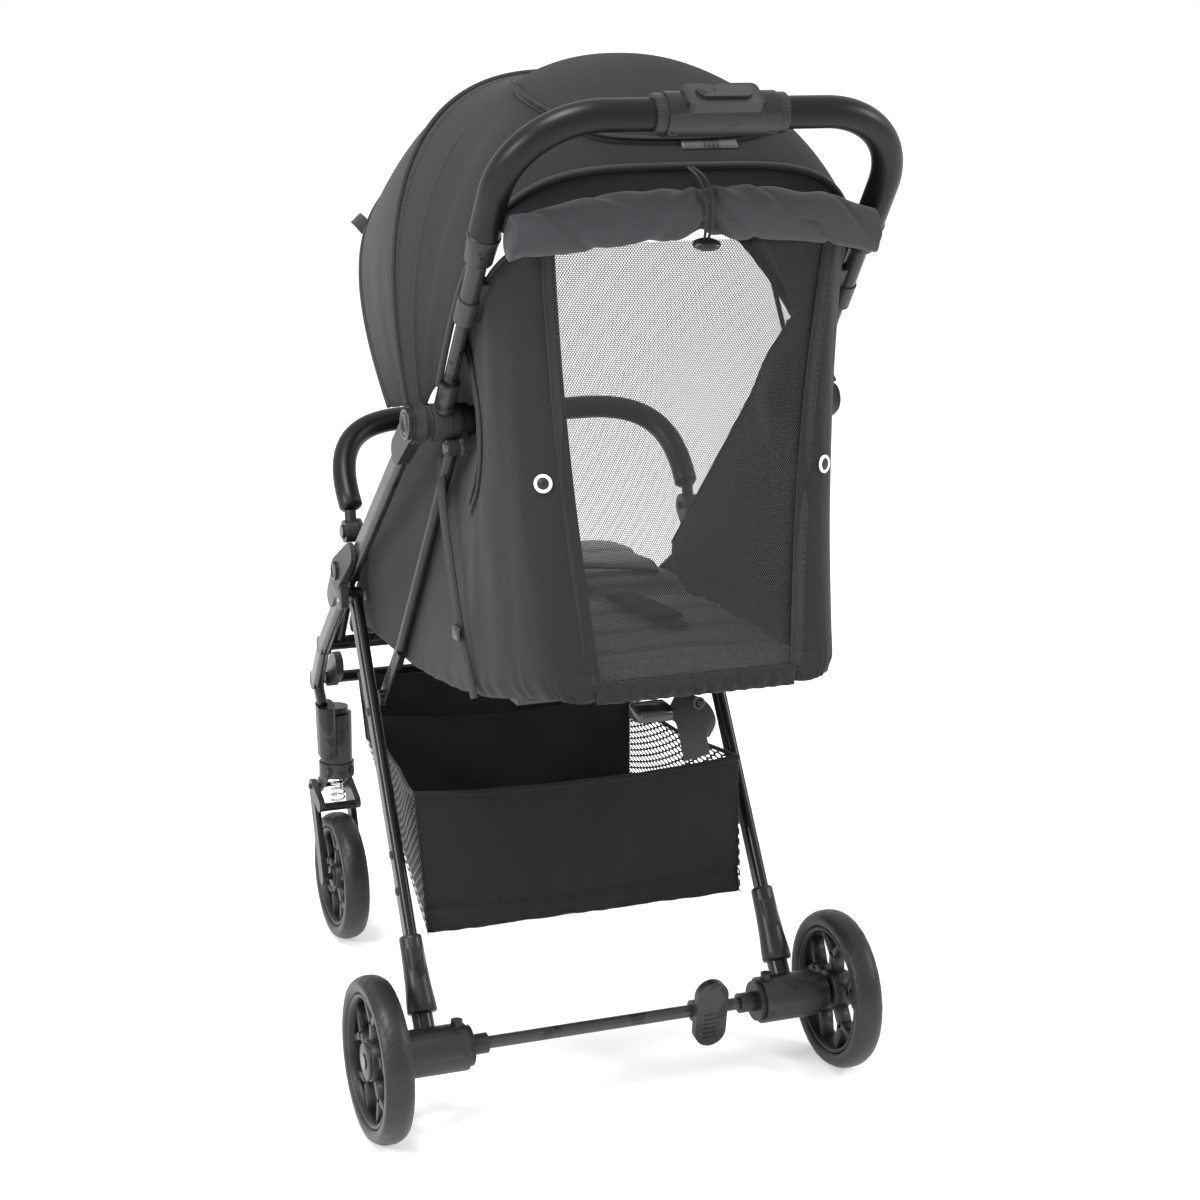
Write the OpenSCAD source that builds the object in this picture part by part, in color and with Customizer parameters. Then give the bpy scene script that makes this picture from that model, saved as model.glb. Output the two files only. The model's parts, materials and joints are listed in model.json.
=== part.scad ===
// Compact folding pet stroller with a reclining seat, a folding canopy and a
// storage basket. Forward is -Y, up is +Z, and the floor is Z = 0.

/* [Wheels] */
// Radius of the rear wheels
rear_wheel_r = 85; // [80:1:90]
// Radius of the front wheels
front_wheel_r = 77; // [72:1:78]
// Width of every tyre
tyre_w = 30; // [26:1:32]
// Distance from the middle of the stroller to the middle of a rear wheel
rear_track = 255; // [252:1:260]
// Distance from the middle of the stroller to the middle of a front wheel
front_track = 143; // [141:1:145]

/* [Frame] */
// Distance between the front and the rear axle
wheelbase = 532; // [530:1:540]
// Backward lean of the handle tubes, in degrees
handle_lean = 34.5; // [33:0.5:37]
// Length of the handle from its pivot to the middle of the grip bar
handle_len = 356; // [350:1:362]
// Distance from the middle of the stroller to a handle tube
handle_half = 188; // [186:1:190]
// Radius of the foam grip
grip_r = 14.5; // [13:0.5:15]

/* [Cabin] */
// Half width of the seat
seat_half = 158; // [150:1:160]
// Height of the top of the seat boards
seat_z = 487; // [486:1:488]
// Half width of the canopy at its widest
canopy_half = 217; // [214:1:218]

/* [Hidden] */
$fn = 48;

// Everything below is laid out from the rear axle, then moved so that the
// origin is under the middle of the whole stroller.
button_house = [36, 15, 21];
rear_reach = 14 + (handle_len + button_house.z) * sin(handle_lean) + button_house.y * cos(handle_lean);
front_reach = wheelbase + front_wheel_r;
rear_axle_y = (front_reach - rear_reach) / 2;

// Pivots, as [Y, Z] from the rear axle's place on the floor
hinge_yz = [14, 729];
knuckle_yz = [-267, 492];
stay_top_yz = [27, 706];
stay_end_yz = [-208, 396.5];
recline_yz = [-165, 480];
leg_rest_yz = [-395, 478];
bumper_yz = [-277, 562];
caster_yz = [-545, 230];
fork_yz = [-572, 180];
axle_z = rear_wheel_r;

// Shared clearances
fit_gap = 0.05;

// ---------------------------------------------------------------- helpers

module placed() { translate([0, rear_axle_y, 0]) children(); }

module both_sides() {
    children();
    mirror([1, 0, 0]) children();
}

// A side is 1 for left (+X) and -1 for right
module on_side(side) {
    if (side > 0) children();
    else mirror([1, 0, 0]) children();
}

// A round rod between two points
module rod(a, b, r) {
    d = b - a;
    len = norm(d);
    translate(a) rotate([0, acos(d.z / len), atan2(d.y, d.x)]) cylinder(h = len, r = r);
}

// A cylinder along X between two X values
module x_rod(x0, x1, yz, r) {
    translate([x0, yz[0], yz[1]]) rotate([0, 90, 0]) cylinder(h = x1 - x0, r = r);
}

// A flat oval outline, t across and w long
module oval(t, w) {
    square([t, w - t], center = true);
    for (end = [-1, 1]) translate([0, end * (w - t) / 2]) circle(d = t);
}

// A flat oval bar between two points, with its narrow side along X
module oval_bar(a, b, t, w) {
    d = b - a;
    len = norm(d);
    translate(a) rotate([atan2(-d.y, d.z), 0, 0]) rotate([0, asin(d.x / len), 0])
        linear_extrude(len) oval(t, w);
}

// A straight line of balls and rods through a list of points
module run(points, r) {
    for (i = [0 : len(points) - 2]) rod(points[i], points[i + 1], r);
    for (i = [1 : len(points) - 2]) translate(points[i]) sphere(r);
}

// The handle's own frame: Z runs up along the handle tubes from the pivot
module handle_frame() {
    translate([0, hinge_yz[0], hinge_yz[1]]) rotate([-handle_lean, 0, 0]) children();
}

// A solid between two surfaces given as grids of points with equal sizes
module shell(outer, inner) {
    rows = len(outer);
    cols = len(outer[0]);
    count = rows * cols;
    points = concat([for (row = outer) each row], [for (row = inner) each row]);
    function at(i, j, side) = side * count + i * cols + j;
    faces = concat(
        [for (i = [0 : rows - 2], j = [0 : cols - 2])
            [at(i, j, 0), at(i + 1, j, 0), at(i + 1, j + 1, 0), at(i, j + 1, 0)]],
        [for (i = [0 : rows - 2], j = [0 : cols - 2])
            [at(i, j, 1), at(i, j + 1, 1), at(i + 1, j + 1, 1), at(i + 1, j, 1)]],
        [for (j = [0 : cols - 2]) [at(0, j, 0), at(0, j + 1, 0), at(0, j + 1, 1), at(0, j, 1)]],
        [for (j = [0 : cols - 2])
            [at(rows - 1, j, 0), at(rows - 1, j, 1), at(rows - 1, j + 1, 1), at(rows - 1, j + 1, 0)]],
        [for (i = [0 : rows - 2]) [at(i, 0, 0), at(i, 0, 1), at(i + 1, 0, 1), at(i + 1, 0, 0)]],
        [for (i = [0 : rows - 2])
            [at(i, cols - 1, 0), at(i + 1, cols - 1, 0), at(i + 1, cols - 1, 1), at(i, cols - 1, 1)]]
    );
    polyhedron(points, faces);
}

// A tube swept along a list of points, closed at both ends
module sweep(path, r, sides) {
    last = len(path) - 1;
    function along(i) = let (d = path[min(i + 1, last)] - path[max(i - 1, 0)]) d / norm(d);
    function across(i) = let (v = cross(along(i), [0, 0.34, 0.94])) v / norm(v);
    function ring(i) = let (u = across(i), v = cross(along(i), u))
        [for (k = [0 : sides - 1])
            path[i] + r * (cos(k * 360 / sides) * u + sin(k * 360 / sides) * v)];
    points = [for (i = [0 : last]) each ring(i)];
    sides_faces = [for (i = [0 : last - 1], k = [0 : sides - 1])
        let (n = (k + 1) % sides)
        [i * sides + k, (i + 1) * sides + k, (i + 1) * sides + n, i * sides + n]];
    polyhedron(points, concat(sides_faces,
        [[for (k = [0 : sides - 1]) k], [for (k = [sides - 1 : -1 : 0]) last * sides + k]]));
}

function bezier(a, b, c, d, t) =
    pow(1 - t, 3) * a + 3 * pow(1 - t, 2) * t * b + 3 * (1 - t) * t * t * c + t * t * t * d;

// ------------------------------------------------------------- main frame

tube_t = 12;
tube_w = 22;
tube_top_x = 213;
tube_knuckle_x = 198;
tube_bend = [181, -450, 390];
tube_low = [171, -523, 328];
caster_top_z = 292;

// Upper tube and front leg, bent down over the caster
module frame_tube(side) {
    color("#2b2b2d") placed() on_side(side) {
        knuckle = [tube_knuckle_x, -267, 520];
        oval_bar([tube_top_x, hinge_yz[0] - 18, hinge_yz[1] - 14], knuckle, tube_t, tube_w);
        oval_bar(knuckle, tube_bend, tube_t, tube_w);
        oval_bar(tube_bend, tube_low, tube_t, tube_w);
        oval_bar(tube_low, [158, caster_yz[0] + 8, caster_top_z - 18], tube_t, tube_w);
        for (p = [knuckle, tube_bend, tube_low])
            translate(p) rotate([0, 90, 0]) cylinder(h = tube_t, d = tube_w, center = true);
    }
}
module frame_tube_left() { frame_tube(1); }
module frame_tube_right() { frame_tube(-1); }

// Y-shaped plastic fitting on the outside of each frame tube
module knuckles() {
    color("#1d1d1f") placed() both_sides() difference() {
        union() {
            hull() {
                translate([207, -267, 520]) rotate([0, 90, 0]) cylinder(h = 9, d = 34, $fn = 32);
                translate([207.5, -228, 549]) rotate([0, 90, 0]) cylinder(h = 5, d = 24, $fn = 32);
            }
            hull() {
                translate([207, -267, 520]) rotate([0, 90, 0]) cylinder(h = 8, d = 32, $fn = 32);
                translate([204.5, -318, 482]) rotate([0, 90, 0]) cylinder(h = 4, d = 24, $fn = 32);
            }
            hull() {
                translate([207, -267, 516]) rotate([0, 90, 0]) cylinder(h = 8, d = 32, $fn = 32);
                translate([204.5, knuckle_yz[0], knuckle_yz[1]])
                    rotate([0, 90, 0]) cylinder(h = 8, d = 24, $fn = 32);
            }
            translate([214, -266, 523]) rotate([0, 90, 0]) cylinder(h = 4, d = 20);
        }
        x_rod(200, 214, knuckle_yz, 4 + fit_gap);
    }
}

// Pins that each rear leg turns on
module leg_pivot_pins() {
    color("#8d8f92") placed() both_sides() {
        x_rod(186.5, 213.5, knuckle_yz, 4);
        x_rod(184, 186.5, knuckle_yz, 7);
    }
}

// Outer half of the main hinge, on the end of each frame tube
module hinge_housings() {
    color("#202022") placed() both_sides() {
        difference() {
            union() {
                x_rod(206.5, 217, hinge_yz, 19);
                x_rod(217, 220, hinge_yz, 17.5);
                x_rod(220, 222.5, hinge_yz, 15);
                hull() {
                    x_rod(206.5, 219.5, hinge_yz, 15, $fn = 32);
                    translate([207, hinge_yz[0] - 46, hinge_yz[1] - 34])
                        rotate([0, 90, 0]) cylinder(h = 12, d = 27, $fn = 32);
                }
            }
            x_rod(205, 216, hinge_yz, 5 + fit_gap);
            oval_bar([tube_top_x, hinge_yz[0] - 17.8, hinge_yz[1] - 13.8],
                [tube_knuckle_x, -267, 520], tube_t + 0.1, tube_w + 0.1);
        }
    }
}

// Inner half of the main hinge, with the ear that holds the stay
module hinge_caps() {
    color("#17171a") placed() both_sides() {
        difference() {
            union() {
                x_rod(156, 162, hinge_yz, 14);
                x_rod(162, 172, hinge_yz, 17);
                x_rod(172, 180.5, hinge_yz, 18);
                hull() {
                    x_rod(166, 172, hinge_yz, 12, $fn = 32);
                    x_rod(166, 172, stay_top_yz, 8, $fn = 32);
                }
            }
            x_rod(160, 182, hinge_yz, 5 + fit_gap);
            x_rod(164, 174, stay_top_yz, 3 + fit_gap);
        }
    }
}

module hinge_shafts() {
    color("#8d8f92") placed() both_sides() x_rod(160.2, 215.8, hinge_yz, 5);
}

// Pins that the stays hang on
module stay_pins() {
    color("#8d8f92") placed() both_sides() {
        x_rod(164.2, 187, stay_top_yz, 3);
        x_rod(187, 189, stay_top_yz, 5);
    }
}

// Tubes that join the two front legs, with the foot bar's brackets
module front_crossbars() {
    color("#232325") placed() {
        x_rod(-173.6, 173.6, [-448, 392], 8);
        x_rod(-162, 162, [-520, 330], 7);
        both_sides() hull() {
            x_rod(148, 160, [-520, 330], 10, $fn = 32);
            x_rod(150, 159, [-495, 352], 16, $fn = 32);
        }
    }
}

rail_x = 166;

// Rails under the seat, hung from the frame tubes
module seat_rails() {
    color("#232325") placed() both_sides() {
        run([[rail_x, -140, 470], [rail_x, -392, 470], [rail_x, -436, 402]], 6);
        rod([rail_x, -312, 470], [183, -312, 485.3], 5);
    }
}

// ------------------------------------------------------ seat and its cabin

module seat_board() {
    color("#1b1b1d") placed()
        translate([-seat_half, -388, seat_z - 9]) cube([2 * seat_half, 215, 8]);
}

// A cushion block with round corners and bevelled top and bottom edges
module rounded_pad(x_half, y0, y1, z0, z1, r) {
    bevel = 4;
    hull() for (x = [-1, 1], y = [y0 + r, y1 - r]) translate([x * (x_half - r), y, 0]) {
        translate([0, 0, z0]) cylinder(h = z1 - z0, r = r - bevel, $fn = 32);
        translate([0, 0, z0 + bevel]) cylinder(h = z1 - z0 - 2 * bevel, r = r, $fn = 32);
    }
}

module seat_pad() {
    color("#2c2c2e") placed() rounded_pad(seat_half - 2, -392, -180, seat_z - 0.6, seat_z + 22, 14);
}

module backrest_board() {
    color("#1b1b1d") placed() {
        difference() {
            translate([-seat_half + 8, recline_yz[0] + 7, seat_z - 9])
                cube([2 * seat_half - 16, 280, 7]);
            translate([-60, recline_yz[0] + 90, seat_z - 12]) cube([120, 60, 14]);
        }
        both_sides() hull() {
            x_rod(130, 150, recline_yz, 5, $fn = 32);
            x_rod(130, 150, [recline_yz[0] + 16, recline_yz[1] + 1], 3, $fn = 32);
        }
        both_sides() x_rod(126, 154, recline_yz, 4);
    }
}

module backrest_pad() {
    color("#2c2c2e") placed() rounded_pad(seat_half - 9, -139, 146, seat_z - 1.6, seat_z + 20, 14);
}

leg_rest_drop = 40;

// Folding calf support at the front of the seat
module leg_rest() {
    color("#1b1b1d") placed() translate([0, leg_rest_yz[0], leg_rest_yz[1]]) rotate([leg_rest_drop, 0, 0]) {
        hull() for (x = [-1, 1]) {
            translate([x * 142, -18, -4]) cylinder(h = 8, r = 10, $fn = 32);
            translate([x * 120, -118, -4]) cylinder(h = 8, r = 20, $fn = 32);
        }
        rotate([0, 90, 0]) cylinder(h = 280, r = 4, center = true);
        translate([-130, -14, -3]) cube([260, 14, 5]);
    }
}

wall = 2;
// Straight line between two points, split into equal steps
function steps(a, b, n) = [for (i = [0 : n]) a + (b - a) * i / n];
function inward(grid, x) = [for (row = grid) [for (p = row) p - [x, 0, 0]]];

// Lowest and highest edge of the rear wall; it is drawn in between them
rear_low_z = 498;
rear_high_z = 906;
rear_half = 140;
function rear_y(t) = 198 - 108 * t + 74 * t * t;

// Fabric side of the cabin: low edge along the seat, top edge up to the canopy
side_wall_grid = [
    [for (i = [0 : 6]) let (t = i / 6) [rear_half + 3 + 4 * t, rear_y(t) - 11, 500 + 390 * t]],
    [for (i = [0 : 6]) let (t = i / 6) [158 + 4 * t, rear_y(t) - 44 + 6 * t, 494 + 384 * t]],
    [for (i = [0 : 6]) [171 - 2 * min(i, 4), 90, 480 + 60 * i]],
    [for (i = [0 : 6]) [174 - 7.4 * min(i, 3), 40, 471 + 56 * i]],
    [for (i = [0 : 6]) [171 - 6 * min(i, 3), -60, 470 + 40 * i]],
    steps([170, -150, 482], [158, -150, 620], 6),
    steps([170, -282, 489], [172, -242, 530], 6)
];

module side_wall(side) {
    color("#29292b") placed() on_side(side) shell(side_wall_grid, inward(side_wall_grid, wall));
}
module side_wall_left() { side_wall(1); }
module side_wall_right() { side_wall(-1); }

// Edges of the window in the rear wall
window_low_half = 95;
window_top_half = 133;
window_low = 0.04;
window_top = 0.985;

function rear_at(x, t) = [x, rear_y(t) - 10 * pow(abs(x) / rear_half, 5),
    rear_low_z + (rear_high_z - rear_low_z) * t];
function forward(grid, y) = [for (row = grid) [for (p = row) p - [0, y, 0]]];

// Panel of the rear wall between two heights, as wide as half_low at the wall's
// foot and half_high at its top
module rear_panel(half_low, half_high, t0, t1, back, thick) {
    grid = [for (i = [0 : 6]) let (t = t0 + (t1 - t0) * i / 6)
        [for (j = [0 : 8]) rear_at((half_low + (half_high - half_low) * t) * (1 - j / 4), t)]];
    shell(forward(grid, -back), forward(grid, thick));
}

// Rear wall round the window
module rear_wall() {
    color("#29292b") placed() difference() {
        rear_panel(rear_half, rear_half, 0, 1, 0, wall);
        rear_panel(window_low_half, window_top_half, window_low, window_top, 5, 9);
    }
}

module window_mesh() {
    color("#111112") placed() rear_panel(window_low_half - 0.4, window_top_half - 0.4,
        window_low + 0.002, window_top - 0.002, 0, 1);
}

// Window cover, rolled up and tied under the canopy's rear edge
module rolled_flap() {
    path = [for (i = [0 : 12]) let (f = i / 6 - 1)
        [168 * f, 184 - 8 * f * f, 934 - 18 * f * f]];
    color("#222224") placed() sweep(path, 18.5, 12);
}

// Shoulder straps that lie on the backrest
module harness_straps() {
    color("#161617") placed() both_sides()
        translate([30, -136, seat_z + 20.6]) rotate([0, 0, -8]) cube([22, 150, 2.6]);
}

module harness_buckle() {
    color("#0f0f10") placed() translate([0, -214, seat_z + 29.6]) hull() {
        cube([44, 52, 8], center = true);
        cube([30, 36, 14], center = true);
    }
}

// ----------------------------------------------------------------- basket

basket_low_rear = [178, -76, 172];
basket_low_front = [128, -470, 264];
basket_top_rear = [183, -104, 322];
basket_top_front = [134, -478, 345];

module basket_body(inset, lift) {
    hull() for (x = [-1, 1]) {
        for (p = [basket_low_rear, basket_top_rear])
            translate([x * (p.x - inset), p.y - inset, p.z + lift]) cube(1, center = true);
        for (p = [basket_low_front, basket_top_front])
            translate([x * (p.x - inset), p.y + inset, p.z + lift]) cube(1, center = true);
    }
}

// Open fabric basket under the seat
module basket() {
    color("#1a1a1b") placed() difference() {
        basket_body(0, 0);
        basket_body(2, 2);
        translate([0, 0, 3]) basket_body(2, 3);
    }
}

// ------------------------------------------------------------- bumper bar

module bumper_mounts() {
    color("#1d1d1f") placed() both_sides() difference() {
        union() {
            hull() {
                x_rod(184.5, 187.5, bumper_yz, 13, $fn = 32);
                x_rod(184.5, 187.5, [-262, 538], 8, $fn = 32);
            }
            x_rod(187, 199, [-262, 538], 7.5);
        }
        x_rod(180, 191, bumper_yz, 4 + fit_gap);
        oval_bar([tube_top_x, hinge_yz[0] - 18, hinge_yz[1] - 14],
            [tube_knuckle_x, -267, 520], tube_t + 0.1, tube_w + 0.1);
    }
}

bumper_r = 12.5;
bumper_half = [for (i = [0 : 10])
    bezier([193, -283, 588], [203, -372, 690], [97, -362, 660], [0, -362, 660], i / 10)];
bumper_path = concat(bumper_half, [for (i = [9 : -1 : 0]) [-bumper_half[i].x, bumper_half[i].y,
    bumper_half[i].z]]);

module bumper_bar() {
    color("#1c1c1d") placed() sweep(bumper_path, bumper_r, 16);
}

// End sockets of the bumper bar, with the hole for the release button
module bumper_ends() {
    color("#232325") placed() both_sides() difference() {
        union() {
            rod([194.7, -276.5, 561], [194.2, -282, 583.6], 6.2);
            x_rod(188.2, 203, bumper_yz, 12);
            x_rod(180.5, 188.5, bumper_yz, 4);
        }
        x_rod(196, 204, bumper_yz, 7.5);
    }
}

module bumper_button(side) {
    color("#3a3a3d") placed() on_side(side) x_rod(199, 206, bumper_yz, 7);
}
module bumper_button_left() { bumper_button(1); }
module bumper_button_right() { bumper_button(-1); }

// ----------------------------------------------------------------- handle

lower_r = 6.5;
upper_r = 9;
collar_at = 128;
grip_at = 224;
grip_bend = 84;

module handle_hubs() {
    color("#1d1d1f") placed() both_sides() {
        difference() {
            union() {
                x_rod(181, 199.3, hinge_yz, 18);
                handle_frame() translate([handle_half, 0, 18.5]) cylinder(h = 33.5, r = 10);
            }
            x_rod(180, 200, hinge_yz, 5 + fit_gap);
            handle_frame() translate([handle_half, 0, 20]) cylinder(h = 34, r = lower_r + fit_gap);
        }
    }
}

module handle_lower_tubes() {
    color("#2b2b2d") placed() both_sides() handle_frame()
        translate([handle_half, 0, 20]) cylinder(h = 175, r = lower_r);
}

// Latch collars clamped on the foot of the sliding tubes
module handle_collars() {
    color("#19191b") placed() both_sides() handle_frame() translate([handle_half, 0, collar_at]) {
        difference() {
            union() {
                cylinder(h = 26, r = 10.5);
                translate([-14.5, -6, 2]) cube([8, 12, 44]);
            }
            translate([0, 0, -1]) cylinder(h = 60, r = upper_r + fit_gap);
        }
    }
}

module handle_upper_tubes() {
    color("#2b2b2d") placed() both_sides() handle_frame() difference() {
        translate([handle_half, 0, collar_at + 1]) cylinder(h = grip_at - collar_at + 14, r = upper_r);
        translate([handle_half, 0, collar_at]) cylinder(h = 140, r = lower_r + 0.1);
    }
}

// Foam-covered grip: two arms, two bends and the bar between them
module handle_grip() {
    arm_top = handle_len - grip_bend;
    color("#1f1f20") placed() handle_frame() {
        difference() {
            union() {
                both_sides() {
                    translate([handle_half, 0, grip_at]) cylinder(h = arm_top - grip_at, r = grip_r);
                    translate([handle_half - grip_bend, 0, arm_top]) rotate([90, 0, 0])
                        rotate_extrude(angle = 90) translate([grip_bend, 0]) circle(grip_r);
                }
                translate([-handle_half + grip_bend, 0, handle_len]) rotate([0, 90, 0])
                    cylinder(h = 2 * (handle_half - grip_bend), r = grip_r);
            }
            both_sides() translate([handle_half, 0, grip_at - 1])
                cylinder(h = 16, r = upper_r + fit_gap);
        }
    }
}

// Clamshell in the middle of the bar that carries the fold button
module handle_module() {
    color("#19191b") placed() handle_frame() translate([0, 0, handle_len]) difference() {
        union() {
            rotate([0, 90, 0]) cylinder(h = 124, r = 18, center = true);
            rotate([0, 90, 0]) cylinder(h = 104, r = 19.5, center = true);
            hull() for (x = [-1, 1], y = [-1, 1])
                translate([x * (button_house.x - 6), y * (button_house.y - 6), 0])
                    cylinder(h = button_house.z, r = 6, $fn = 32);
        }
        rotate([0, 90, 0]) cylinder(h = 126, r = grip_r + fit_gap, center = true);
        for (x = [-18, 18]) translate([x, 0, 0]) cylinder(h = 30, r = 8);
        translate([-18, -8, 0]) cube([36, 16, 30]);
    }
}

module fold_button() {
    color("#3a3a3d") placed() handle_frame() translate([0, 0, handle_len + grip_r + 4.5]) {
        for (x = [-18, 18]) translate([x, 0, 0]) cylinder(h = 5.5, r = 7.5);
        translate([-18, -7.5, 0]) cube([36, 15, 5.5]);
    }
}

// ----------------------------------------------------------------- canopy

// Rings of the canopy about the hinge axis: [angle from the rear, half width,
// height, roundness]
ring_rear = [60.5, 197, 281, 4.2];
ring_crown = [90, 204, 334, 2.4];
ring_tuck = [118, 205, 348, 2.1];
ring_seam = [122, canopy_half - 1, 366, 2.5];
ring_brim = [143, canopy_half + 15, 373, 2.8];
canopy_low = 15;

function canopy_point(ring, side_angle, inset) = let (
        power = 2 / ring[3],
        s = pow(abs(cos(side_angle)), power) * sign(cos(side_angle)),
        up = pow(sin(side_angle), power) * (ring[2] - inset)
    ) [s * (ring[1] - inset), hinge_yz[0] + up * cos(ring[0]), hinge_yz[1] + up * sin(ring[0])];

function blend_ring(a, b, t) = a + (b - a) * t;
function canopy_row(ring, inset) = [for (i = [0 : 24])
    canopy_point(ring, canopy_low * 0.3 + (180 - canopy_low * 0.6) * i / 24, inset)];
function canopy_grid(rings, inset) = [for (ring = rings) canopy_row(ring, inset)];
function rings_between(a, b, n) = [for (i = [0 : n]) blend_ring(a, b, i / n)];

module canopy_panel(rings) {
    shell(canopy_grid(rings, 0), canopy_grid(rings, 1.5));
}

module canopy_rear() {
    color("#232224") placed() canopy_panel(concat(rings_between(ring_rear, ring_crown, 3),
        rings_between(blend_ring(ring_crown, ring_tuck, 0.33), ring_tuck, 2)));
}

module canopy_front() {
    color("#333335") placed()
        canopy_panel(rings_between(ring_seam, ring_brim, 4));
}

bow_r = 2.6;
arm_r = 17;
arm_reach = 92;

// A bow: two flat arms on the hinge axis and a wire arch between their tips
module canopy_bow(ring, x0, thick) {
    arch = [for (i = [0 : 28]) canopy_point(ring, 8 + 164 * i / 28, 6)];
    dir = [0, cos(ring[0]), sin(ring[0])];
    first = [x0 + thick / 2, hinge_yz[0], hinge_yz[1]] + (arm_reach + 6) * dir;
    path = concat([first], [for (p = arch) if (norm(p - [p.x, hinge_yz[0], hinge_yz[1]]) > 140) p],
        [[-first.x, first.y, first.z]]);
    sweep(path, bow_r, 10);
    both_sides() difference() {
        union() {
            x_rod(x0, x0 + thick, hinge_yz, arm_r);
            translate([x0 + 0.2, hinge_yz[0], hinge_yz[1]]) rotate([ring[0] - 90, 0, 0])
                translate([0, -3, 9]) cube([thick - 0.4, 6, arm_reach - 3.5]);
        }
        x_rod(x0 - 1, x0 + thick + 1, hinge_yz, 5 + fit_gap);
    }
}

module canopy_bow_middle() {
    color("#151516") placed() canopy_bow(ring_seam, 199.8, 2.4);
}

module canopy_bow_front() {
    color("#151516") placed() canopy_bow(ring_brim, 202.7, 2.4);
}

// -------------------------------------------------------- rear leg assembly

leg_top = [194.8, knuckle_yz[0], knuckle_yz[1]];
leg_foot = [198, -62, 166];

module rear_leg(side) {
    socket_low = [199, -36, 118];
    color("#2b2b2d") placed() on_side(side) {
        difference() {
            union() {
                oval_bar(leg_top, leg_foot, tube_t, tube_w);
                x_rod(188.8, 200.8, knuckle_yz, 11);
                oval_bar(leg_foot + [0, -2.5, 4], socket_low, 20, 30);
                rod(socket_low + [0, -2, 4], [199, -20, 98], 11);
            }
            x_rod(186, 204, knuckle_yz, 4 + fit_gap);
            oval_bar([188.8, -283, 516] + [0, 40, -64], [190.4, -176, 346], 2.4, 6.5);
            x_rod(160, 245, [0, axle_z], 24.6);
        }
    }
}
module rear_leg_left() { rear_leg(1); }
module rear_leg_right() { rear_leg(-1); }

// Drum-shaped housings that hold the leg, the axle and the brake pin
module axle_housings() {
    color("#19191b") placed() both_sides() difference() {
        union() {
            x_rod(164, 226, [0, axle_z], 24.5);
            x_rod(158, 164, [0, axle_z], 21);
            x_rod(140, 158, [0, axle_z], 10.5);
            x_rod(226, 238.5, [0, axle_z], 20);
            translate([172, 0, axle_z + 22]) cylinder(h = 8, r = 6);
        }
        x_rod(138, 160, [0, axle_z], 6.5 + fit_gap);
        x_rod(162, 240, [0, axle_z], 5 + fit_gap);
    }
}

// Cross tube and the two stub axles that carry the rear wheels
module axle_tube() {
    color("#3a3b3d") placed() {
        x_rod(-159, 159, [0, axle_z], 6.5);
        both_sides() {
            x_rod(163, 268, [0, axle_z], 5);
            x_rod(268, 270.5, [0, axle_z], 8);
        }
    }
}

pedal_x = -103;

// Foot pedal clamped on the cross tube
module brake_pedal() {
    color("#1f1f21") placed() difference() {
        union() {
            x_rod(pedal_x - 17, pedal_x + 17, [0, axle_z], 11);
            translate([pedal_x, 11, axle_z]) rotate([-8, 0, 0]) rotate([90, 0, 0])
                linear_extrude(9, center = true) {
                    square([35, 40], center = true);
                    for (z = [-20, 20]) translate([0, z]) circle(17.5);
                }
        }
        x_rod(pedal_x - 30, pedal_x + 30, [0, axle_z], 6.5 + fit_gap);
    }
}

// Stays from the hinge down to the rear legs, each with a flat foot
module stay_links() {
    color("#29292b") placed() both_sides() {
        difference() {
            union() {
                x_rod(174.5, 186.5, stay_top_yz, 7.5);
                rod([180.4, stay_top_yz[0] - 2, stay_top_yz[1] - 3], [180, -165, 442], 6);
            }
            x_rod(173, 188, stay_top_yz, 3 + fit_gap);
            x_rod(181, 185.1, [-165, 442], 30);
        }
        oval_bar([183, -148, 463], [183, stay_end_yz[0], stay_end_yz[1]], 4, 15);
        x_rod(181, 187.8, stay_end_yz, 8);
    }
}

// ----------------------------------------------------------------- wheels

spokes = 6;

module rim(radius, hub_r, bore_r, width) {
    inner = radius - 17;
    difference() {
        union() {
            rotate_extrude() polygon([
                [inner - 3, -width / 2 + 5], [inner + 1, -width / 2 + 3], [inner + 1, width / 2 - 3],
                [inner - 3, width / 2 - 5]]);
            cylinder(h = width - 4, r = hub_r, center = true);
            for (i = [0 : spokes - 1]) rotate([0, 0, i * 360 / spokes]) {
                translate([hub_r - 3, -4, -6]) cube([inner - hub_r + 2, 8, 12]);
                translate([(hub_r + inner) / 2, 0, 0]) for (side = [-1, 1])
                    rotate([0, 0, side * 36]) translate([0, -3, -5]) cube([(inner - hub_r) / 2 + 3, 6, 10]);
            }
        }
        cylinder(h = width + 2, r = bore_r + fit_gap, center = true);
        difference() {
            cylinder(h = 60, r = radius + 20, center = true);
            cylinder(h = 62, r = inner + 1, center = true);
        }
    }
}

module tyre(radius, width) {
    inner = radius - 16;
    shoulder = width / 2;
    rotate_extrude($fn = 96) difference() {
        polygon([[inner, -shoulder + 3], [inner + 6, -shoulder], [radius - 5, -shoulder + 2],
            [radius - 1, -shoulder + 8], [radius, 0], [radius - 1, shoulder - 8],
            [radius - 5, shoulder - 2], [inner + 6, shoulder], [inner, shoulder - 3]]);
    }
}

module on_axle(x, yz) { translate([x, yz[0], yz[1]]) rotate([0, 90, 0]) children(); }

module rear_rim(side) {
    color("#202021") placed() on_side(side) on_axle(rear_track, [0, axle_z])
        rim(rear_wheel_r, 20, 5, tyre_w - 4);
}
module rear_rim_left() { rear_rim(1); }
module rear_rim_right() { rear_rim(-1); }

module rear_tyre(side) {
    color("#2e2e2f") placed() on_side(side) on_axle(rear_track, [0, axle_z])
        tyre(rear_wheel_r, tyre_w);
}
module rear_tyre_left() { rear_tyre(1); }
module rear_tyre_right() { rear_tyre(-1); }

// ----------------------------------------------------- casters and springs

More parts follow.
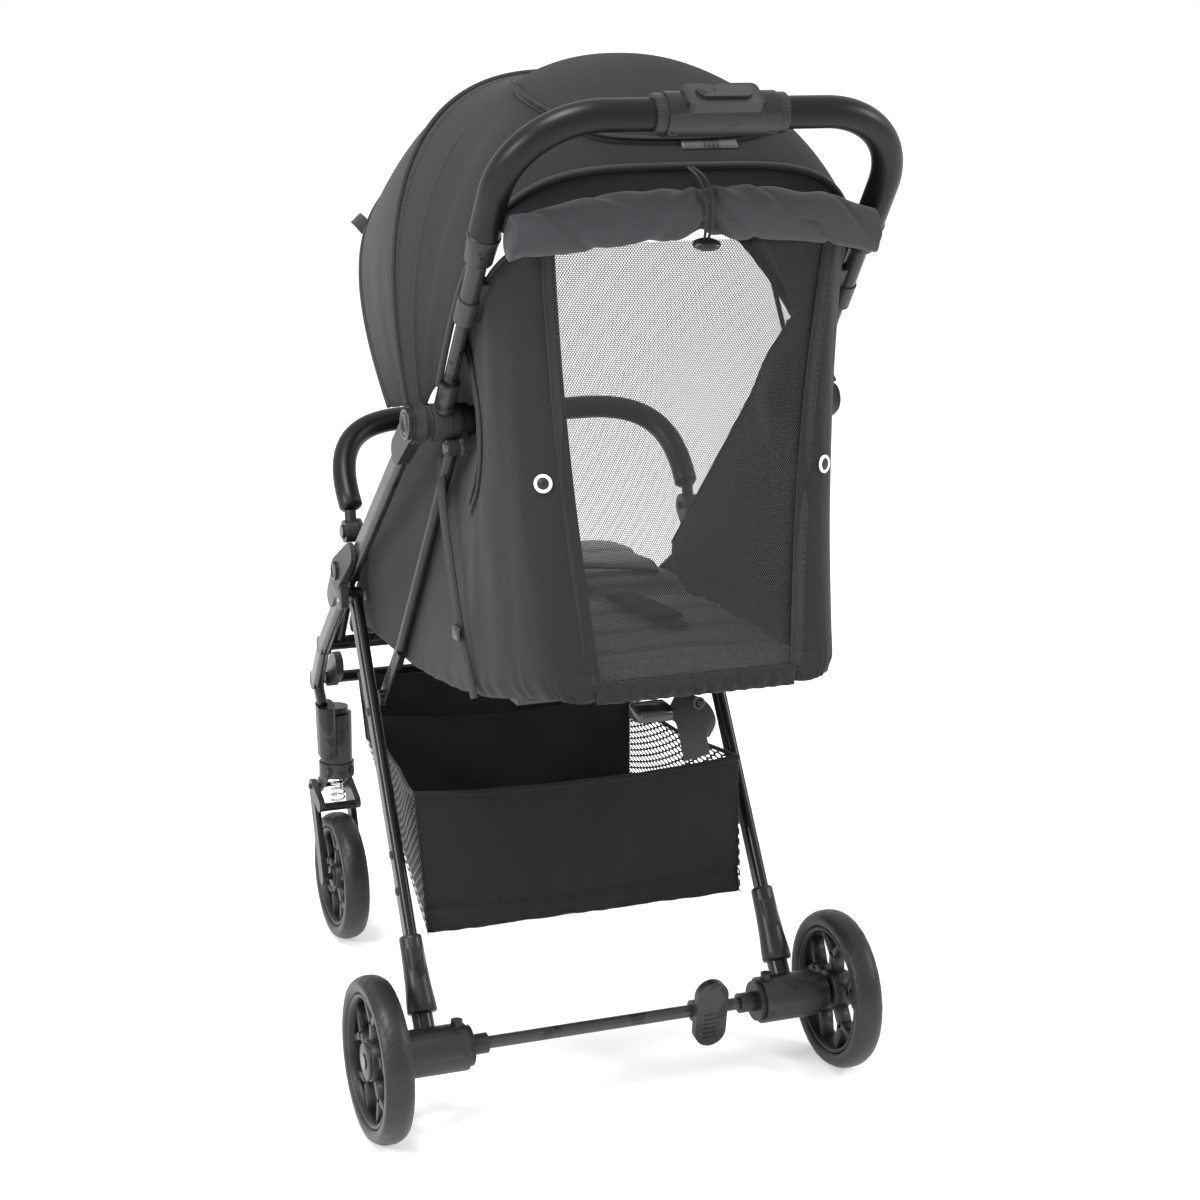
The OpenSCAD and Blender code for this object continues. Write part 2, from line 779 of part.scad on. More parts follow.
swivel_r = 19;
fork_z = 196;
front_axle = [-wheelbase, front_wheel_r];

// Swivelling block under each front leg, with a hook for the fork's pivot
module caster(side) {
    cy = caster_yz[0];
    color("#1d1d1f") placed() on_side(side) {
        difference() {
            union() {
                translate([front_track, cy, 201]) cylinder(h = 17.5, r = swivel_r + 2);
                translate([front_track, cy, 218]) cylinder(h = 50, r = 6);
                for (x = [-1, 1]) hull() {
                    translate([front_track + x * 14 - 2, cy, 208]) cube([4, 20, 6]);
                    x_rod(front_track + x * 14 - 2, front_track + x * 14 + 2, fork_yz, 8, $fn = 32);
                }
            }
            x_rod(front_track - 30, front_track + 30, fork_yz, 3 + fit_gap);
        }
        x_rod(front_track - 28, front_track + 28, fork_yz, 3);
    }
}
module caster_left() { caster(1); }
module caster_right() { caster(-1); }

// Sockets on the ends of the front legs, in which the casters swivel
module caster_sockets() {
    cy = caster_yz[0];
    foot = [158, cy + 8, caster_top_z - 18];
    color("#19191b") placed() both_sides() difference() {
        union() {
            translate([front_track, cy, 219]) cylinder(h = 60, r = swivel_r);
            translate([front_track, cy, 279]) cylinder(h = 8, r = swivel_r - 4);
            oval_bar(foot + [3, 11, 22], foot + [-2, 0, -44], tube_t + 9, tube_w + 8);
        }
        translate([front_track, cy, 215]) cylinder(h = 58, r = 6 + fit_gap);
        oval_bar(tube_low, foot + 0.01 * (foot - tube_low), tube_t + 0.1, tube_w + 0.1);
        translate([front_track - 60, cy - 60, 160]) cube([120, 120, 59]);
    }
}

// Pair of arms that carries one front wheel on its spring
module wheel_fork(side) {
    color("#232325") placed() on_side(side) {
        for (x = [-1, 1]) difference() {
            union() {
                hull() {
                    x_rod(front_track + x * 22 - 3.5, front_track + x * 22 + 3.5, fork_yz, 9, $fn = 32);
                    x_rod(front_track + x * 22 - 3.5, front_track + x * 22 + 3.5, front_axle, 9, $fn = 32);
                }
                hull() {
                    x_rod(front_track + x * 22 - 3.5, front_track + x * 22 + 3.5, fork_yz, 8, $fn = 32);
                    x_rod(front_track + x * 22 - 3.5, front_track + x * 22 + 3.5,
                        [caster_yz[0] + 6, 166], 8, $fn = 32);
                }
            }
            x_rod(front_track - 30, front_track + 30, fork_yz, 3 + fit_gap);
            x_rod(front_track - 30, front_track + 30, front_axle, 3.9);
        }
        x_rod(front_track - 25.5, front_track + 25.5, front_axle, 4);
        x_rod(front_track - 20, front_track + 20, [caster_yz[0] + 6, 163], 5);
    }
}
module wheel_fork_left() { wheel_fork(1); }
module wheel_fork_right() { wheel_fork(-1); }

// Coil spring between the swivelling block and the arms
module spring(side) {
    turns = 4;
    coil_r = 7.5;
    z0 = 169;
    z1 = 199;
    per_turn = 12;
    path = [for (i = [0 : turns * per_turn]) let (a = i * 360 / per_turn)
        [front_track + coil_r * cos(a), caster_yz[0] + 4 + coil_r * sin(a),
            z0 + 1.5 + (z1 - z0 - 3) * i / (turns * per_turn)]];
    color("#c9cbce") placed() on_side(side) sweep(path, 1.4, 6);
}
module spring_left() { spring(1); }
module spring_right() { spring(-1); }

module front_rim(side) {
    color("#202021") placed() on_side(side) on_axle(front_track, front_axle)
        rim(front_wheel_r, 14, 4, tyre_w - 4);
}
module front_rim_left() { front_rim(1); }
module front_rim_right() { front_rim(-1); }

module front_tyre(side) {
    color("#2e2e2f") placed() on_side(side) on_axle(front_track, front_axle)
        tyre(front_wheel_r, tyre_w);
}
module front_tyre_left() { front_tyre(1); }
module front_tyre_right() { front_tyre(-1); }

frame_tube_left();
frame_tube_right();
knuckles();
leg_pivot_pins();
hinge_housings();
hinge_caps();
hinge_shafts();
stay_pins();
front_crossbars();
seat_rails();
seat_board();
seat_pad();
side_wall_left();
side_wall_right();
rear_wall();
window_mesh();
rolled_flap();
basket();
caster_sockets();
bumper_mounts();
harness_straps();
harness_buckle();
bumper_bar();
bumper_ends();
bumper_button_left();
bumper_button_right();
handle_hubs();
handle_lower_tubes();
handle_collars();
handle_upper_tubes();
handle_grip();
handle_module();
fold_button();
canopy_rear();
canopy_bow_middle();
canopy_front();
canopy_bow_front();
rear_leg_left();
rear_leg_right();
axle_housings();
axle_tube();
brake_pedal();
rear_rim_left();
rear_rim_right();
rear_tyre_left();
rear_tyre_right();
stay_links();
backrest_board();
backrest_pad();
leg_rest();
caster_left();
caster_right();
wheel_fork_left();
wheel_fork_right();
spring_left();
spring_right();
front_rim_left();
front_rim_right();
front_tyre_left();
front_tyre_right();
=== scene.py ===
"""Looks of the folding pet stroller: fabrics, foam, tubes, plastics and wheels."""

import json
import math

import bmesh
import bpy
import numpy as np
from mathutils import Matrix, Vector, noise


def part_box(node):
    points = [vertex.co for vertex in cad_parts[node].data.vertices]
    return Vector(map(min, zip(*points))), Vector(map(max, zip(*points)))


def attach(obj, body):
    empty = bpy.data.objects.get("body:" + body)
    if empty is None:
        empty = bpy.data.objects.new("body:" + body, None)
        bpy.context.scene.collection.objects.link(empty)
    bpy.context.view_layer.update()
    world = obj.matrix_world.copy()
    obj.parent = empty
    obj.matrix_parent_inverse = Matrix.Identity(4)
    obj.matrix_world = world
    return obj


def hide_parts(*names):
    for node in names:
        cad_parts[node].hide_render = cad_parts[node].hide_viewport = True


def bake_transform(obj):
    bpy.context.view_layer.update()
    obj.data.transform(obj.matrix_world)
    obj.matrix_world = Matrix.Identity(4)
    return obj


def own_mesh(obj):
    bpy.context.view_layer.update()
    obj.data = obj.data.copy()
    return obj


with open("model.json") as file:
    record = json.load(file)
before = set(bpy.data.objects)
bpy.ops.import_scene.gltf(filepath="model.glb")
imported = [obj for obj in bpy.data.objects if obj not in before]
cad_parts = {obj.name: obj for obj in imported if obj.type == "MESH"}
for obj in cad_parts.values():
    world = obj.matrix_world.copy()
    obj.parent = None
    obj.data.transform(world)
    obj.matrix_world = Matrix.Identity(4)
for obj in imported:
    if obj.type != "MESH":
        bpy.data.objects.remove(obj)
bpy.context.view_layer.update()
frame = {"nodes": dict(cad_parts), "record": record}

# ------------------------------------------------------------ places and sizes
MM = 0.001
SIDES = {"left": 1, "right": -1}
axle_low, axle_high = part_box("axle_tube")
AXLE_Y = (axle_low.y + axle_high.y) / 2
AXLE_Z = (axle_low.z + axle_high.z) / 2
HINGE = (14, 729)
HANDLE_LEAN = math.radians(34.5)
HANDLE_HALF = 188
HANDLE_LENGTH = 356
GRIP_FROM = 224
GRIP_BEND = 84
GRIP_R = 14.5
SEAT_TOP = 487


def at(x, y, z):
    """A point given in millimetres from the floor under the rear axle."""
    return Vector((x * MM, y * MM + AXLE_Y, z * MM))


def on_handle(x, across, along):
    """A point in the handle's own plane: along the tubes, and across to their rear."""
    return at(
        x,
        HINGE[0] + along * math.sin(HANDLE_LEAN) + across * math.cos(HANDLE_LEAN),
        HINGE[1] + along * math.cos(HANDLE_LEAN) - across * math.sin(HANDLE_LEAN),
    )


# ------------------------------------------------------------- node materials
def node_group(name, inputs, outputs):
    """A shared node group with named input and output sockets."""
    group = bpy.data.node_groups.new(name, "ShaderNodeTree")
    for label, kind, value in inputs:
        socket = group.interface.new_socket(label, in_out="INPUT", socket_type=kind)
        if value is not None:
            socket.default_value = value
    for label, kind in outputs:
        group.interface.new_socket(label, in_out="OUTPUT", socket_type=kind)
    group.nodes.new("NodeGroupInput")
    group.nodes.new("NodeGroupOutput")
    return group


class Wiring:
    """Short calls for adding and joining shader nodes in one tree."""

    def __init__(self, tree):
        self.tree = tree

    def add(self, kind, inputs=None, **settings):
        """Adds a node; each input is a value to set or a socket to join."""
        node = self.tree.nodes.new(kind)
        for key, value in settings.items():
            setattr(node, key, value)
        for key, value in (inputs or {}).items():
            if isinstance(value, bpy.types.NodeSocket):
                self.tree.links.new(value, node.inputs[key])
            else:
                node.inputs[key].default_value = value
        return node

    def math(self, operation, a, b=None, c=None):
        """Socket with the result of one sum on numbers."""
        given = {i: v for i, v in enumerate((a, b, c)) if v is not None}
        return self.add("ShaderNodeMath", given, operation=operation).outputs[0]

    def vector(self, operation, a, b=None):
        """Socket with the result of one sum on vectors."""
        given = {i: v for i, v in enumerate((a, b)) if v is not None}
        node = self.add("ShaderNodeVectorMath", given, operation=operation)
        return node.outputs["Value" if operation in ("DOT_PRODUCT", "LENGTH") else "Vector"]

    @property
    def given(self):
        """Sockets that carry what the group is given."""
        return self.tree.nodes["Group Input"].outputs

    def put_out(self, name, socket):
        """Joins a socket to one of the group's results."""
        self.tree.links.new(socket, self.tree.nodes["Group Output"].inputs[name])


def make_weave_group():
    """Cloth threads on the piece's own metre-scale map, plain or twill, with random blotches of tone and
    painted shade in the grooves between the threads.
    """
    group = node_group(
        "woven_threads",
        [("Map", "NodeSocketVector", None), ("Thread", "NodeSocketFloat", 0.0009),
         ("Twill", "NodeSocketFloat", 1.0), ("Blotch", "NodeSocketFloat", 0.12)],
        [("Height", "NodeSocketFloat"), ("Shade", "NodeSocketFloat")],
    )
    w = Wiring(group)
    part = w.add("ShaderNodeSeparateXYZ", {0: w.given["Map"]})
    turns = w.math("DIVIDE", 2 * math.pi, w.given["Thread"])
    u = w.math("MULTIPLY", part.outputs[0], turns)
    v = w.math("MULTIPLY", part.outputs[1], turns)
    plain = w.math("MULTIPLY", w.math("SINE", u), w.math("SINE", v))
    twill = w.math("SINE", w.math("ADD", u, v))
    mixed = w.add("ShaderNodeMix", {0: w.given["Twill"], 2: plain, 3: twill}).outputs[0]
    height = w.math("MULTIPLY_ADD", mixed, 0.5, 0.5)
    large = w.add("ShaderNodeTexNoise", {"Vector": w.given["Map"], "Scale": 9.0, "Detail": 4.0})
    slub = w.add("ShaderNodeTexNoise", {"Vector": w.given["Map"], "Scale": 420.0, "Detail": 2.0})
    blotch = w.math("SUBTRACT", large.outputs[0], 0.5)
    fine = w.math("SUBTRACT", slub.outputs[0], 0.5)
    both = w.math("ADD", w.math("MULTIPLY", blotch, 1.2), fine)
    shade = w.math("MULTIPLY_ADD", both, w.given["Blotch"], 1.0)
    # Threads lighter on their crowns and darker in the grooves between them: painted shade.
    shade = w.math("MULTIPLY", shade, w.math("MULTIPLY_ADD", height, 0.22, 0.86))
    w.put_out("Height", height)
    w.put_out("Shade", shade)
    return group


def make_net_group():
    """Six-sided openings of a knitted net on the piece's metre-scale map."""
    group = node_group(
        "net_openings",
        [("Map", "NodeSocketVector", None), ("Cell", "NodeSocketFloat", 0.003),
         ("Yarn", "NodeSocketFloat", 0.2), ("Stretch", "NodeSocketVector", (1.0, 1.0, 1.0))],
        [("Yarn", "NodeSocketFloat")],
    )
    w = Wiring(group)
    spot = w.vector("MULTIPLY", w.given["Map"], w.given["Stretch"])
    cell = w.add("ShaderNodeCombineXYZ", {0: w.given["Cell"], 1: w.given["Cell"], 2: 1.0})
    spot = w.vector("DIVIDE", spot, cell.outputs[0])
    spot = w.vector("ADD", spot, (500.0, 500.0, 0.0))
    period = (1.0, math.sqrt(3), 1.0)
    half = (0.5, math.sqrt(3) / 2, 0.0)
    a = w.vector("SUBTRACT", w.vector("MODULO", spot, period), half)
    b = w.vector("SUBTRACT", w.vector("MODULO", w.vector("SUBTRACT", spot, half), period), half)
    flat = (1.0, 1.0, 0.0)
    a, b = w.vector("MULTIPLY", a, flat), w.vector("MULTIPLY", b, flat)
    nearer = w.math("LESS_THAN", w.vector("LENGTH", a), w.vector("LENGTH", b))
    pick = w.add("ShaderNodeMix", {0: nearer, 4: b, 5: a}, data_type="VECTOR").outputs[1]
    pick = w.vector("ABSOLUTE", pick)
    x = w.add("ShaderNodeSeparateXYZ", {0: pick}).outputs[0]
    slant = w.vector("DOT_PRODUCT", pick, (0.5, math.sqrt(3) / 2, 0.0))
    out = w.math("MAXIMUM", x, slant)
    edge = w.math("SUBTRACT", 0.5, w.math("MULTIPLY", w.given["Yarn"], 0.5))
    w.put_out("Yarn", w.math("GREATER_THAN", out, edge))
    return group


def make_grain_group():
    """Fine moulded grain with slow changes of shade, for plastic, foam and paint."""
    group = node_group(
        "moulded_grain",
        [("Place", "NodeSocketVector", None), ("Grain", "NodeSocketFloat", 900.0),
         ("Blotch", "NodeSocketFloat", 0.1), ("Rim", "NodeSocketFloat", 0.5)],
        [("Height", "NodeSocketFloat"), ("Shade", "NodeSocketFloat"), ("Wear", "NodeSocketFloat")],
    )
    w = Wiring(group)
    fine = w.add("ShaderNodeTexNoise", {"Vector": w.given["Place"], "Scale": w.given["Grain"],
                                        "Detail": 3.0, "Roughness": 0.65})
    broad = w.add("ShaderNodeTexNoise", {"Vector": w.given["Place"], "Scale": 22.0, "Detail": 5.0})
    shade = w.math("MULTIPLY_ADD", w.math("SUBTRACT", broad.outputs[0], 0.5),
                   w.given["Blotch"], 1.0)
    worn = w.add("ShaderNodeMapRange", {0: w.given["Rim"], 1: 0.52, 2: 0.62, 3: 0.0, 4: 1.0})
    scuff = w.math("MULTIPLY", worn.outputs[0], w.math("GREATER_THAN", broad.outputs[0], 0.42))
    w.put_out("Height", fine.outputs[0])
    w.put_out("Shade", shade)
    w.put_out("Wear", scuff)
    return group


WEAVE = make_weave_group()
NET = make_net_group()
GRAIN = make_grain_group()


def start_material(name, rough, metal=0.0, coat=0.0):
    """A new material with its roughness, metal and coat set, and a hand to wire it with."""
    material = bpy.data.materials.new(name)
    material.use_nodes = True
    w = Wiring(material.node_tree)
    shader = material.node_tree.nodes["Principled BSDF"]
    shader.inputs["Roughness"].default_value = rough
    shader.inputs["Metallic"].default_value = metal
    shader.inputs["Coat Weight"].default_value = coat
    return material, w, shader


def shaded(w, colour, shade):
    """The colour made lighter and darker by a value near one."""
    tint = w.add("ShaderNodeVectorMath", {0: (*colour,), "Scale": shade}, operation="SCALE")
    return tint.outputs["Vector"]


def cloth(name, colour, thread=0.0009, twill=1.0, blotch=0.12, rough=0.82, sheen=0.25,
          depth=0.00012, shine=0.25):
    """Woven cloth: thread is the weave's pitch in metres, twill 1 slants it and 0 keeps it plain."""
    material, w, shader = start_material(name, rough)
    mapped = w.add("ShaderNodeUVMap", uv_map="cloth")
    group = w.add("ShaderNodeGroup", node_tree=WEAVE)
    w.tree.links.new(mapped.outputs[0], group.inputs["Map"])
    for key, value in (("Thread", thread), ("Twill", twill), ("Blotch", blotch)):
        group.inputs[key].default_value = value
    bump = w.add("ShaderNodeBump", {"Height": group.outputs["Height"], "Distance": depth,
                                    "Strength": 0.8})
    w.tree.links.new(shaded(w, colour, group.outputs["Shade"]), shader.inputs["Base Color"])
    w.tree.links.new(bump.outputs[0], shader.inputs["Normal"])
    shader.inputs["Sheen Weight"].default_value = sheen
    shader.inputs["Sheen Roughness"].default_value = 0.5
    shader.inputs["Specular IOR Level"].default_value = shine
    return material


def net(name, colour, cell, yarn, stretch=(1.0, 1.0, 1.0)):
    """Open knitted net: cell is the spacing of the holes in metres, yarn the share left solid."""
    material, w, shader = start_material(name, 0.6)
    mapped = w.add("ShaderNodeUVMap", uv_map="cloth")
    group = w.add("ShaderNodeGroup", node_tree=NET)
    w.tree.links.new(mapped.outputs[0], group.inputs["Map"])
    for key, value in (("Cell", cell), ("Yarn", yarn), ("Stretch", stretch)):
        group.inputs[key].default_value = value
    w.tree.links.new(group.outputs["Yarn"], shader.inputs["Alpha"])
    fibre = w.add("ShaderNodeTexNoise", {"Vector": mapped.outputs[0], "Scale": 600.0, "Detail": 3.0})
    shade = w.math("MULTIPLY_ADD", fibre.outputs[0], 0.5, 0.75)
    w.tree.links.new(shaded(w, colour, shade), shader.inputs["Base Color"])
    bump = w.add("ShaderNodeBump", {"Height": fibre.outputs[0], "Distance": 0.0002})
    w.tree.links.new(bump.outputs[0], shader.inputs["Normal"])
    return material


def moulded(name, colour, rough=0.5, grain=900.0, depth=0.00006, blotch=0.12, metal=0.0,
            coat=0.0, worn=(0.06, 0.06, 0.063), shine=0.5):
    """Moulded plastic or metal: grain per metre, its depth in metres, and edges paled to worn."""
    material, w, shader = start_material(name, rough, metal, coat)
    shader.inputs["Specular IOR Level"].default_value = shine
    place = w.add("ShaderNodeTexCoord").outputs["Object"]
    rim = w.add("ShaderNodeNewGeometry").outputs["Pointiness"]
    group = w.add("ShaderNodeGroup", node_tree=GRAIN)
    w.tree.links.new(place, group.inputs["Place"])
    w.tree.links.new(rim, group.inputs["Rim"])
    group.inputs["Grain"].default_value = grain
    group.inputs["Blotch"].default_value = blotch
    base = shaded(w, colour, group.outputs["Shade"])
    amount = w.math("MULTIPLY", group.outputs["Wear"], 0.35)
    mixed = w.add("ShaderNodeMix", {0: amount, 6: base, 7: (*worn, 1.0)}, data_type="RGBA")
    w.tree.links.new(mixed.outputs[2], shader.inputs["Base Color"])
    rougher = w.math("MULTIPLY_ADD", group.outputs["Height"], 0.16, rough - 0.08)
    w.tree.links.new(rougher, shader.inputs["Roughness"])
    bump = w.add("ShaderNodeBump", {"Height": group.outputs["Height"], "Distance": depth,
                                    "Strength": 0.7})
    w.tree.links.new(bump.outputs[0], shader.inputs["Normal"])
    return material


FINISH = {
    "painted_tube": moulded("satin_powder_coat", (0.004, 0.0042, 0.005), 0.27, 1500, 0.00003, shine=0.25),
    "satin_plastic": moulded("satin_plastic", (0.009, 0.009, 0.0105), 0.38, 1100, 0.00007, shine=0.3),
    "gloss_plastic": moulded("smooth_plastic", (0.008, 0.008, 0.009), 0.22, 700, 0.00002, shine=0.35),
    "pins": moulded("pin_metal", (0.5, 0.51, 0.53), 0.3, 900, 0.00001, metal=1.0),
    "axle_steel": moulded("axle_paint", (0.012, 0.012, 0.014), 0.25, 900, 0.00002, shine=0.4),
    "spring_chrome": moulded("bright_spring", (0.8, 0.8, 0.82), 0.12, 900, 0.00001, metal=1.0),
    "grip_foam": moulded("grip_foam", (0.0045, 0.0045, 0.005), 0.36, 1600, 0.0001, blotch=0.16, shine=0.2),
    "tyre": moulded("tyre_rubber", (0.013, 0.013, 0.0145), 0.42, 700, 0.00008, blotch=0.2, shine=0.3),
    "rim_plastic": moulded("rim_plastic", (0.008, 0.008, 0.0095), 0.4, 800, 0.00006, shine=0.25),
    "canopy_fabric": cloth("canopy_twill", (0.022, 0.022, 0.023), sheen=0.07, shine=0.25),
    "canopy_dark_fabric": cloth("dark_twill", (0.012, 0.0112, 0.0122), sheen=0.03, shine=0.2),
    "cabin_fabric": cloth("cabin_cloth", (0.0125, 0.0125, 0.0136), 0.0008, 0.3, sheen=0.06, shine=0.22),
    "mesh_fabric": net("window_net", (0.014, 0.014, 0.015), 0.0023, 0.27, (1.0, 1.15, 1.0)),
    "basket_fabric": cloth("basket_cloth", (0.0055, 0.006, 0.0075), 0.0008, 0.1, sheen=0.04),
    "pad_fabric": cloth("pad_cloth", (0.2, 0.2, 0.208), 0.0011, 0.2),
    "board": moulded("board", (0.02, 0.02, 0.021), 0.6),
    "webbing": cloth("webbing", (0.011, 0.011, 0.012), 0.0013, 0.0, 0.1, 0.6, 0.05, 0.0003),
}
WHITE_PLASTIC = moulded("white_plastic", (0.72, 0.72, 0.7), 0.35, 600, 0.00002)
GREY_TAB = moulded("grey_tab", (0.055, 0.056, 0.058), 0.5, 600, 0.00004)
BASKET_NET = net("basket_net", (0.012, 0.012, 0.013), 0.0042, 0.3, (0.28, 1.0, 1.0))
FLAP_CLOTH = cloth("flap_cloth", (0.032, 0.031, 0.035), sheen=0.12, shine=0.25)
BINDING = cloth("binding_tape", (0.016, 0.016, 0.017), 0.0012, 0.0, 0.08, 0.7, 0.1, 0.0002)


# -------------------------------------------------------------- mesh building
def new_piece(name, points, faces, material, uv=None):
    """A smooth shaded mesh piece, with its flat map if one is given."""
    mesh = bpy.data.meshes.new(name)
    mesh.from_pydata([tuple(p) for p in points], [], faces)
    mesh.update()
    if uv is not None:
        layer = mesh.uv_layers.new(name="cloth")
        index = np.empty(len(mesh.loops), int)
        mesh.loops.foreach_get("vertex_index", index)
        layer.data.foreach_set("uv", np.asarray(uv, float)[index].ravel())
    mesh.polygons.foreach_set("use_smooth", [True] * len(mesh.polygons))
    mesh.materials.append(material)
    piece = bpy.data.objects.new(name, mesh)
    bpy.context.collection.objects.link(piece)
    return piece


def finish_piece(piece, body, stands_for=()):
    """Ties a piece to its body and the CAD nodes that it replaces."""
    if body:
        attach(piece, body)
    if stands_for:
        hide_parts(*stands_for)
    return piece


def arc_steps(grid, axis):
    """Distance along the grid's rows or columns, in metres."""
    step = np.linalg.norm(np.diff(grid, axis=axis), axis=2)
    total = np.cumsum(step, axis=axis)
    return np.insert(total, 0, 0.0, axis=axis)


def grid_normals(grid):
    """Unit directions square to the sheet at each point of a grid."""
    du = np.gradient(grid, axis=1)
    dv = np.gradient(grid, axis=0)
    n = np.cross(du, dv)
    return n / np.maximum(np.linalg.norm(n, axis=2, keepdims=True), 1e-12)


def sheet_faces(rows, cols):
    """Faces of two layers of points joined round their border, and the border's points."""
    count = rows * cols
    faces = []
    for i in range(rows - 1):
        for j in range(cols - 1):
            a, b, c, d = i * cols + j, i * cols + j + 1, (i + 1) * cols + j + 1, (i + 1) * cols + j
            faces.append((a, b, c, d))
            faces.append((a + count, d + count, c + count, b + count))
    border = list(range(cols))
    border += [i * cols + cols - 1 for i in range(1, rows)]
    border += [(rows - 1) * cols + j for j in range(cols - 2, -1, -1)]
    border += [i * cols for i in range(rows - 2, 0, -1)]
    for a, b in zip(border, border[1:] + border[:1]):
        faces.append((b, a, a + count, b + count))
    return faces, border


def sheet_grid(rows, cols, place):
    """Grid of points: place gives each one from its shares f across, -1 to 1, and t up, 0 to 1."""
    return np.array([[tuple(place(2 * j / (cols - 1) - 1, i / (rows - 1))) for j in range(cols)]
                     for i in range(rows)])


def cloth_piece(name, grid, material, thick=0.0012):
    """A sheet of real thickness through a grid of points, with its metre-scale map."""
    grid = np.array(grid, float)
    rows, cols = grid.shape[:2]
    n = grid_normals(grid) * thick / 2
    points = np.concatenate([(grid + n).reshape(-1, 3), (grid - n).reshape(-1, 3)])
    u = arc_steps(grid, 1).mean(axis=0)
    v = arc_steps(grid, 0)[:, cols // 2]
    flat = np.stack(np.meshgrid(u, v), axis=2).reshape(-1, 2)
    return new_piece(name, points, sheet_faces(rows, cols)[0], material, np.concatenate([flat, flat]))


def declare_sheet(grid):
    grid = np.array(grid, float)
    width = float(arc_steps(grid, 1)[:, -1].max())
    length = float(arc_steps(grid, 0)[-1].max())
    a = np.cross(grid[1:, 1:] - grid[:-1, :-1], grid[1:, :-1] - grid[:-1, 1:])
    area = float(np.linalg.norm(a, axis=2).sum() / 2)
    width, length = round(width, 3) + 0.001, round(length, 3) + 0.001
    area = min(max(area, 0.301 * width * length), width * length)


def smooth_path(points, count):
    """Catmull-Rom curve through the given points."""
    p = np.array([tuple(q) for q in points], float)
    p = np.concatenate([[2 * p[0] - p[1]], p, [2 * p[-1] - p[-2]]])
    t = np.linspace(0, len(p) - 3, count)
    i = np.minimum(t.astype(int), len(p) - 4)
    f = (t - i)[:, None]
    a, b, c, d = p[i], p[i + 1], p[i + 2], p[i + 3]
    return 0.5 * (2 * b + (c - a) * f + (2 * a - 5 * b + 4 * c - d) * f**2
                  + (3 * b - a - 3 * c + d) * f**3)


def directions(path):
    """Unit directions along a path."""
    d = np.gradient(path, axis=0)
    return d / np.maximum(np.linalg.norm(d, axis=1, keepdims=True), 1e-12)


def frames_along(path, up):
    """Side and up directions at each point of a path, turned as little as possible."""
    d = directions(path)
    side = np.cross(d[0], np.array(up, float))
    sides = []
    for along in d:
        side = side - along * np.dot(side, along)
        side = side / np.linalg.norm(side)
        sides.append(side)
    sides = np.array(sides)
    return sides, np.cross(sides, d)


def tube_points(path, outline, up):
    """Rings of the outline set square to the path; outline is rings x sides x 2."""
    side, over = frames_along(path, up)
    return (path[:, None, :] + outline[:, :, :1] * side[:, None, :]
            + outline[:, :, 1:] * over[:, None, :])


def ring_mesh(name, rings, material, closed=False):
    """A closed skin over rings of points, with rounded map seams."""
    rings = np.array(rings, float)
    n, m = rings.shape[:2]
    wrapped = np.concatenate([rings, rings[:, :1]], axis=1)
    v = arc_steps(wrapped, 0).mean(axis=1)
    u = arc_steps(wrapped, 1).mean(axis=0)
    points = wrapped.reshape(-1, 3)
    uv = np.stack(np.meshgrid(u, v), axis=2).reshape(-1, 2)
    faces = [(i * (m + 1) + j, (i + 1) * (m + 1) + j, (i + 1) * (m + 1) + j + 1,
              i * (m + 1) + j + 1) for i in range(n - 1) for j in range(m)]
    if closed:
        last = (n - 1) * (m + 1)
        faces += [(last + j, j, j + 1, last + j + 1) for j in range(m)]
    else:
        faces.append(tuple(range(m)))
        faces.append(tuple((n - 1) * (m + 1) + j for j in range(m - 1, -1, -1)))
    piece = new_piece(name, points, faces, material, uv)
    weld(piece)
    return piece


def weld(piece):
    """Joins the doubled points along a skin's map seam and turns its faces outward."""
    b = bmesh.new()
    b.from_mesh(piece.data)
    bmesh.ops.remove_doubles(b, verts=b.verts, dist=1e-6)
    bmesh.ops.recalc_face_normals(b, faces=b.faces)
    b.to_mesh(piece.data)
    b.free()


def rounded_tube(name, path, radius, material, sides=20, up=(0, 0, 1), ends=3):
    """A round tube with domed ends; radius is one value or one per point."""
    path = np.array([tuple(p) for p in path], float)
    r = np.broadcast_to(np.asarray(radius, float), (len(path),)).copy()
    angle = np.linspace(0, 2 * math.pi, sides, endpoint=False)
    d = directions(path)
    caps = [math.cos(math.radians(q)) for q in np.linspace(85, 25, ends)]
    lean = [math.sin(math.radians(q)) for q in np.linspace(85, 25, ends)]
    head = [path[0] - d[0] * r[0] * 0.35 * s for s in lean]
    tail = [path[-1] + d[-1] * r[-1] * 0.35 * s for s in reversed(lean)]
    full = np.concatenate([head, path, tail])
    radii = np.concatenate([[r[0] * c for c in caps], r, [r[-1] * c for c in reversed(caps)]])
    outline = np.stack([np.cos(angle), np.sin(angle)], axis=1)[None] * radii[:, None, None]
    side, over = frames_along(path, up)
    side = np.concatenate([np.repeat(side[:1], ends, 0), side, np.repeat(side[-1:], ends, 0)])
    over = np.concatenate([np.repeat(over[:1], ends, 0), over, np.repeat(over[-1:], ends, 0)])
    rings = (full[:, None, :] + outline[:, :, :1] * side[:, None, :]
             + outline[:, :, 1:] * over[:, None, :])
    return ring_mesh(name, rings, material)


def strap(name, path, width, thick, up, material):
    """Flat webbing along a path: up is the direction its flat side faces."""
    path = np.array([tuple(p) for p in path], float)
    w, t = width / 2, thick / 2
    outline = np.array([(-w, -t * 0.3), (-w * 0.97, -t), (0, -t), (w * 0.97, -t), (w, -t * 0.3),
                        (w, t * 0.3), (w * 0.97, t), (0, t), (-w * 0.97, t), (-w, t * 0.3)])
    outline = np.repeat(outline[None], len(path), 0)
    return ring_mesh(name, tube_points(path, outline, up), material)


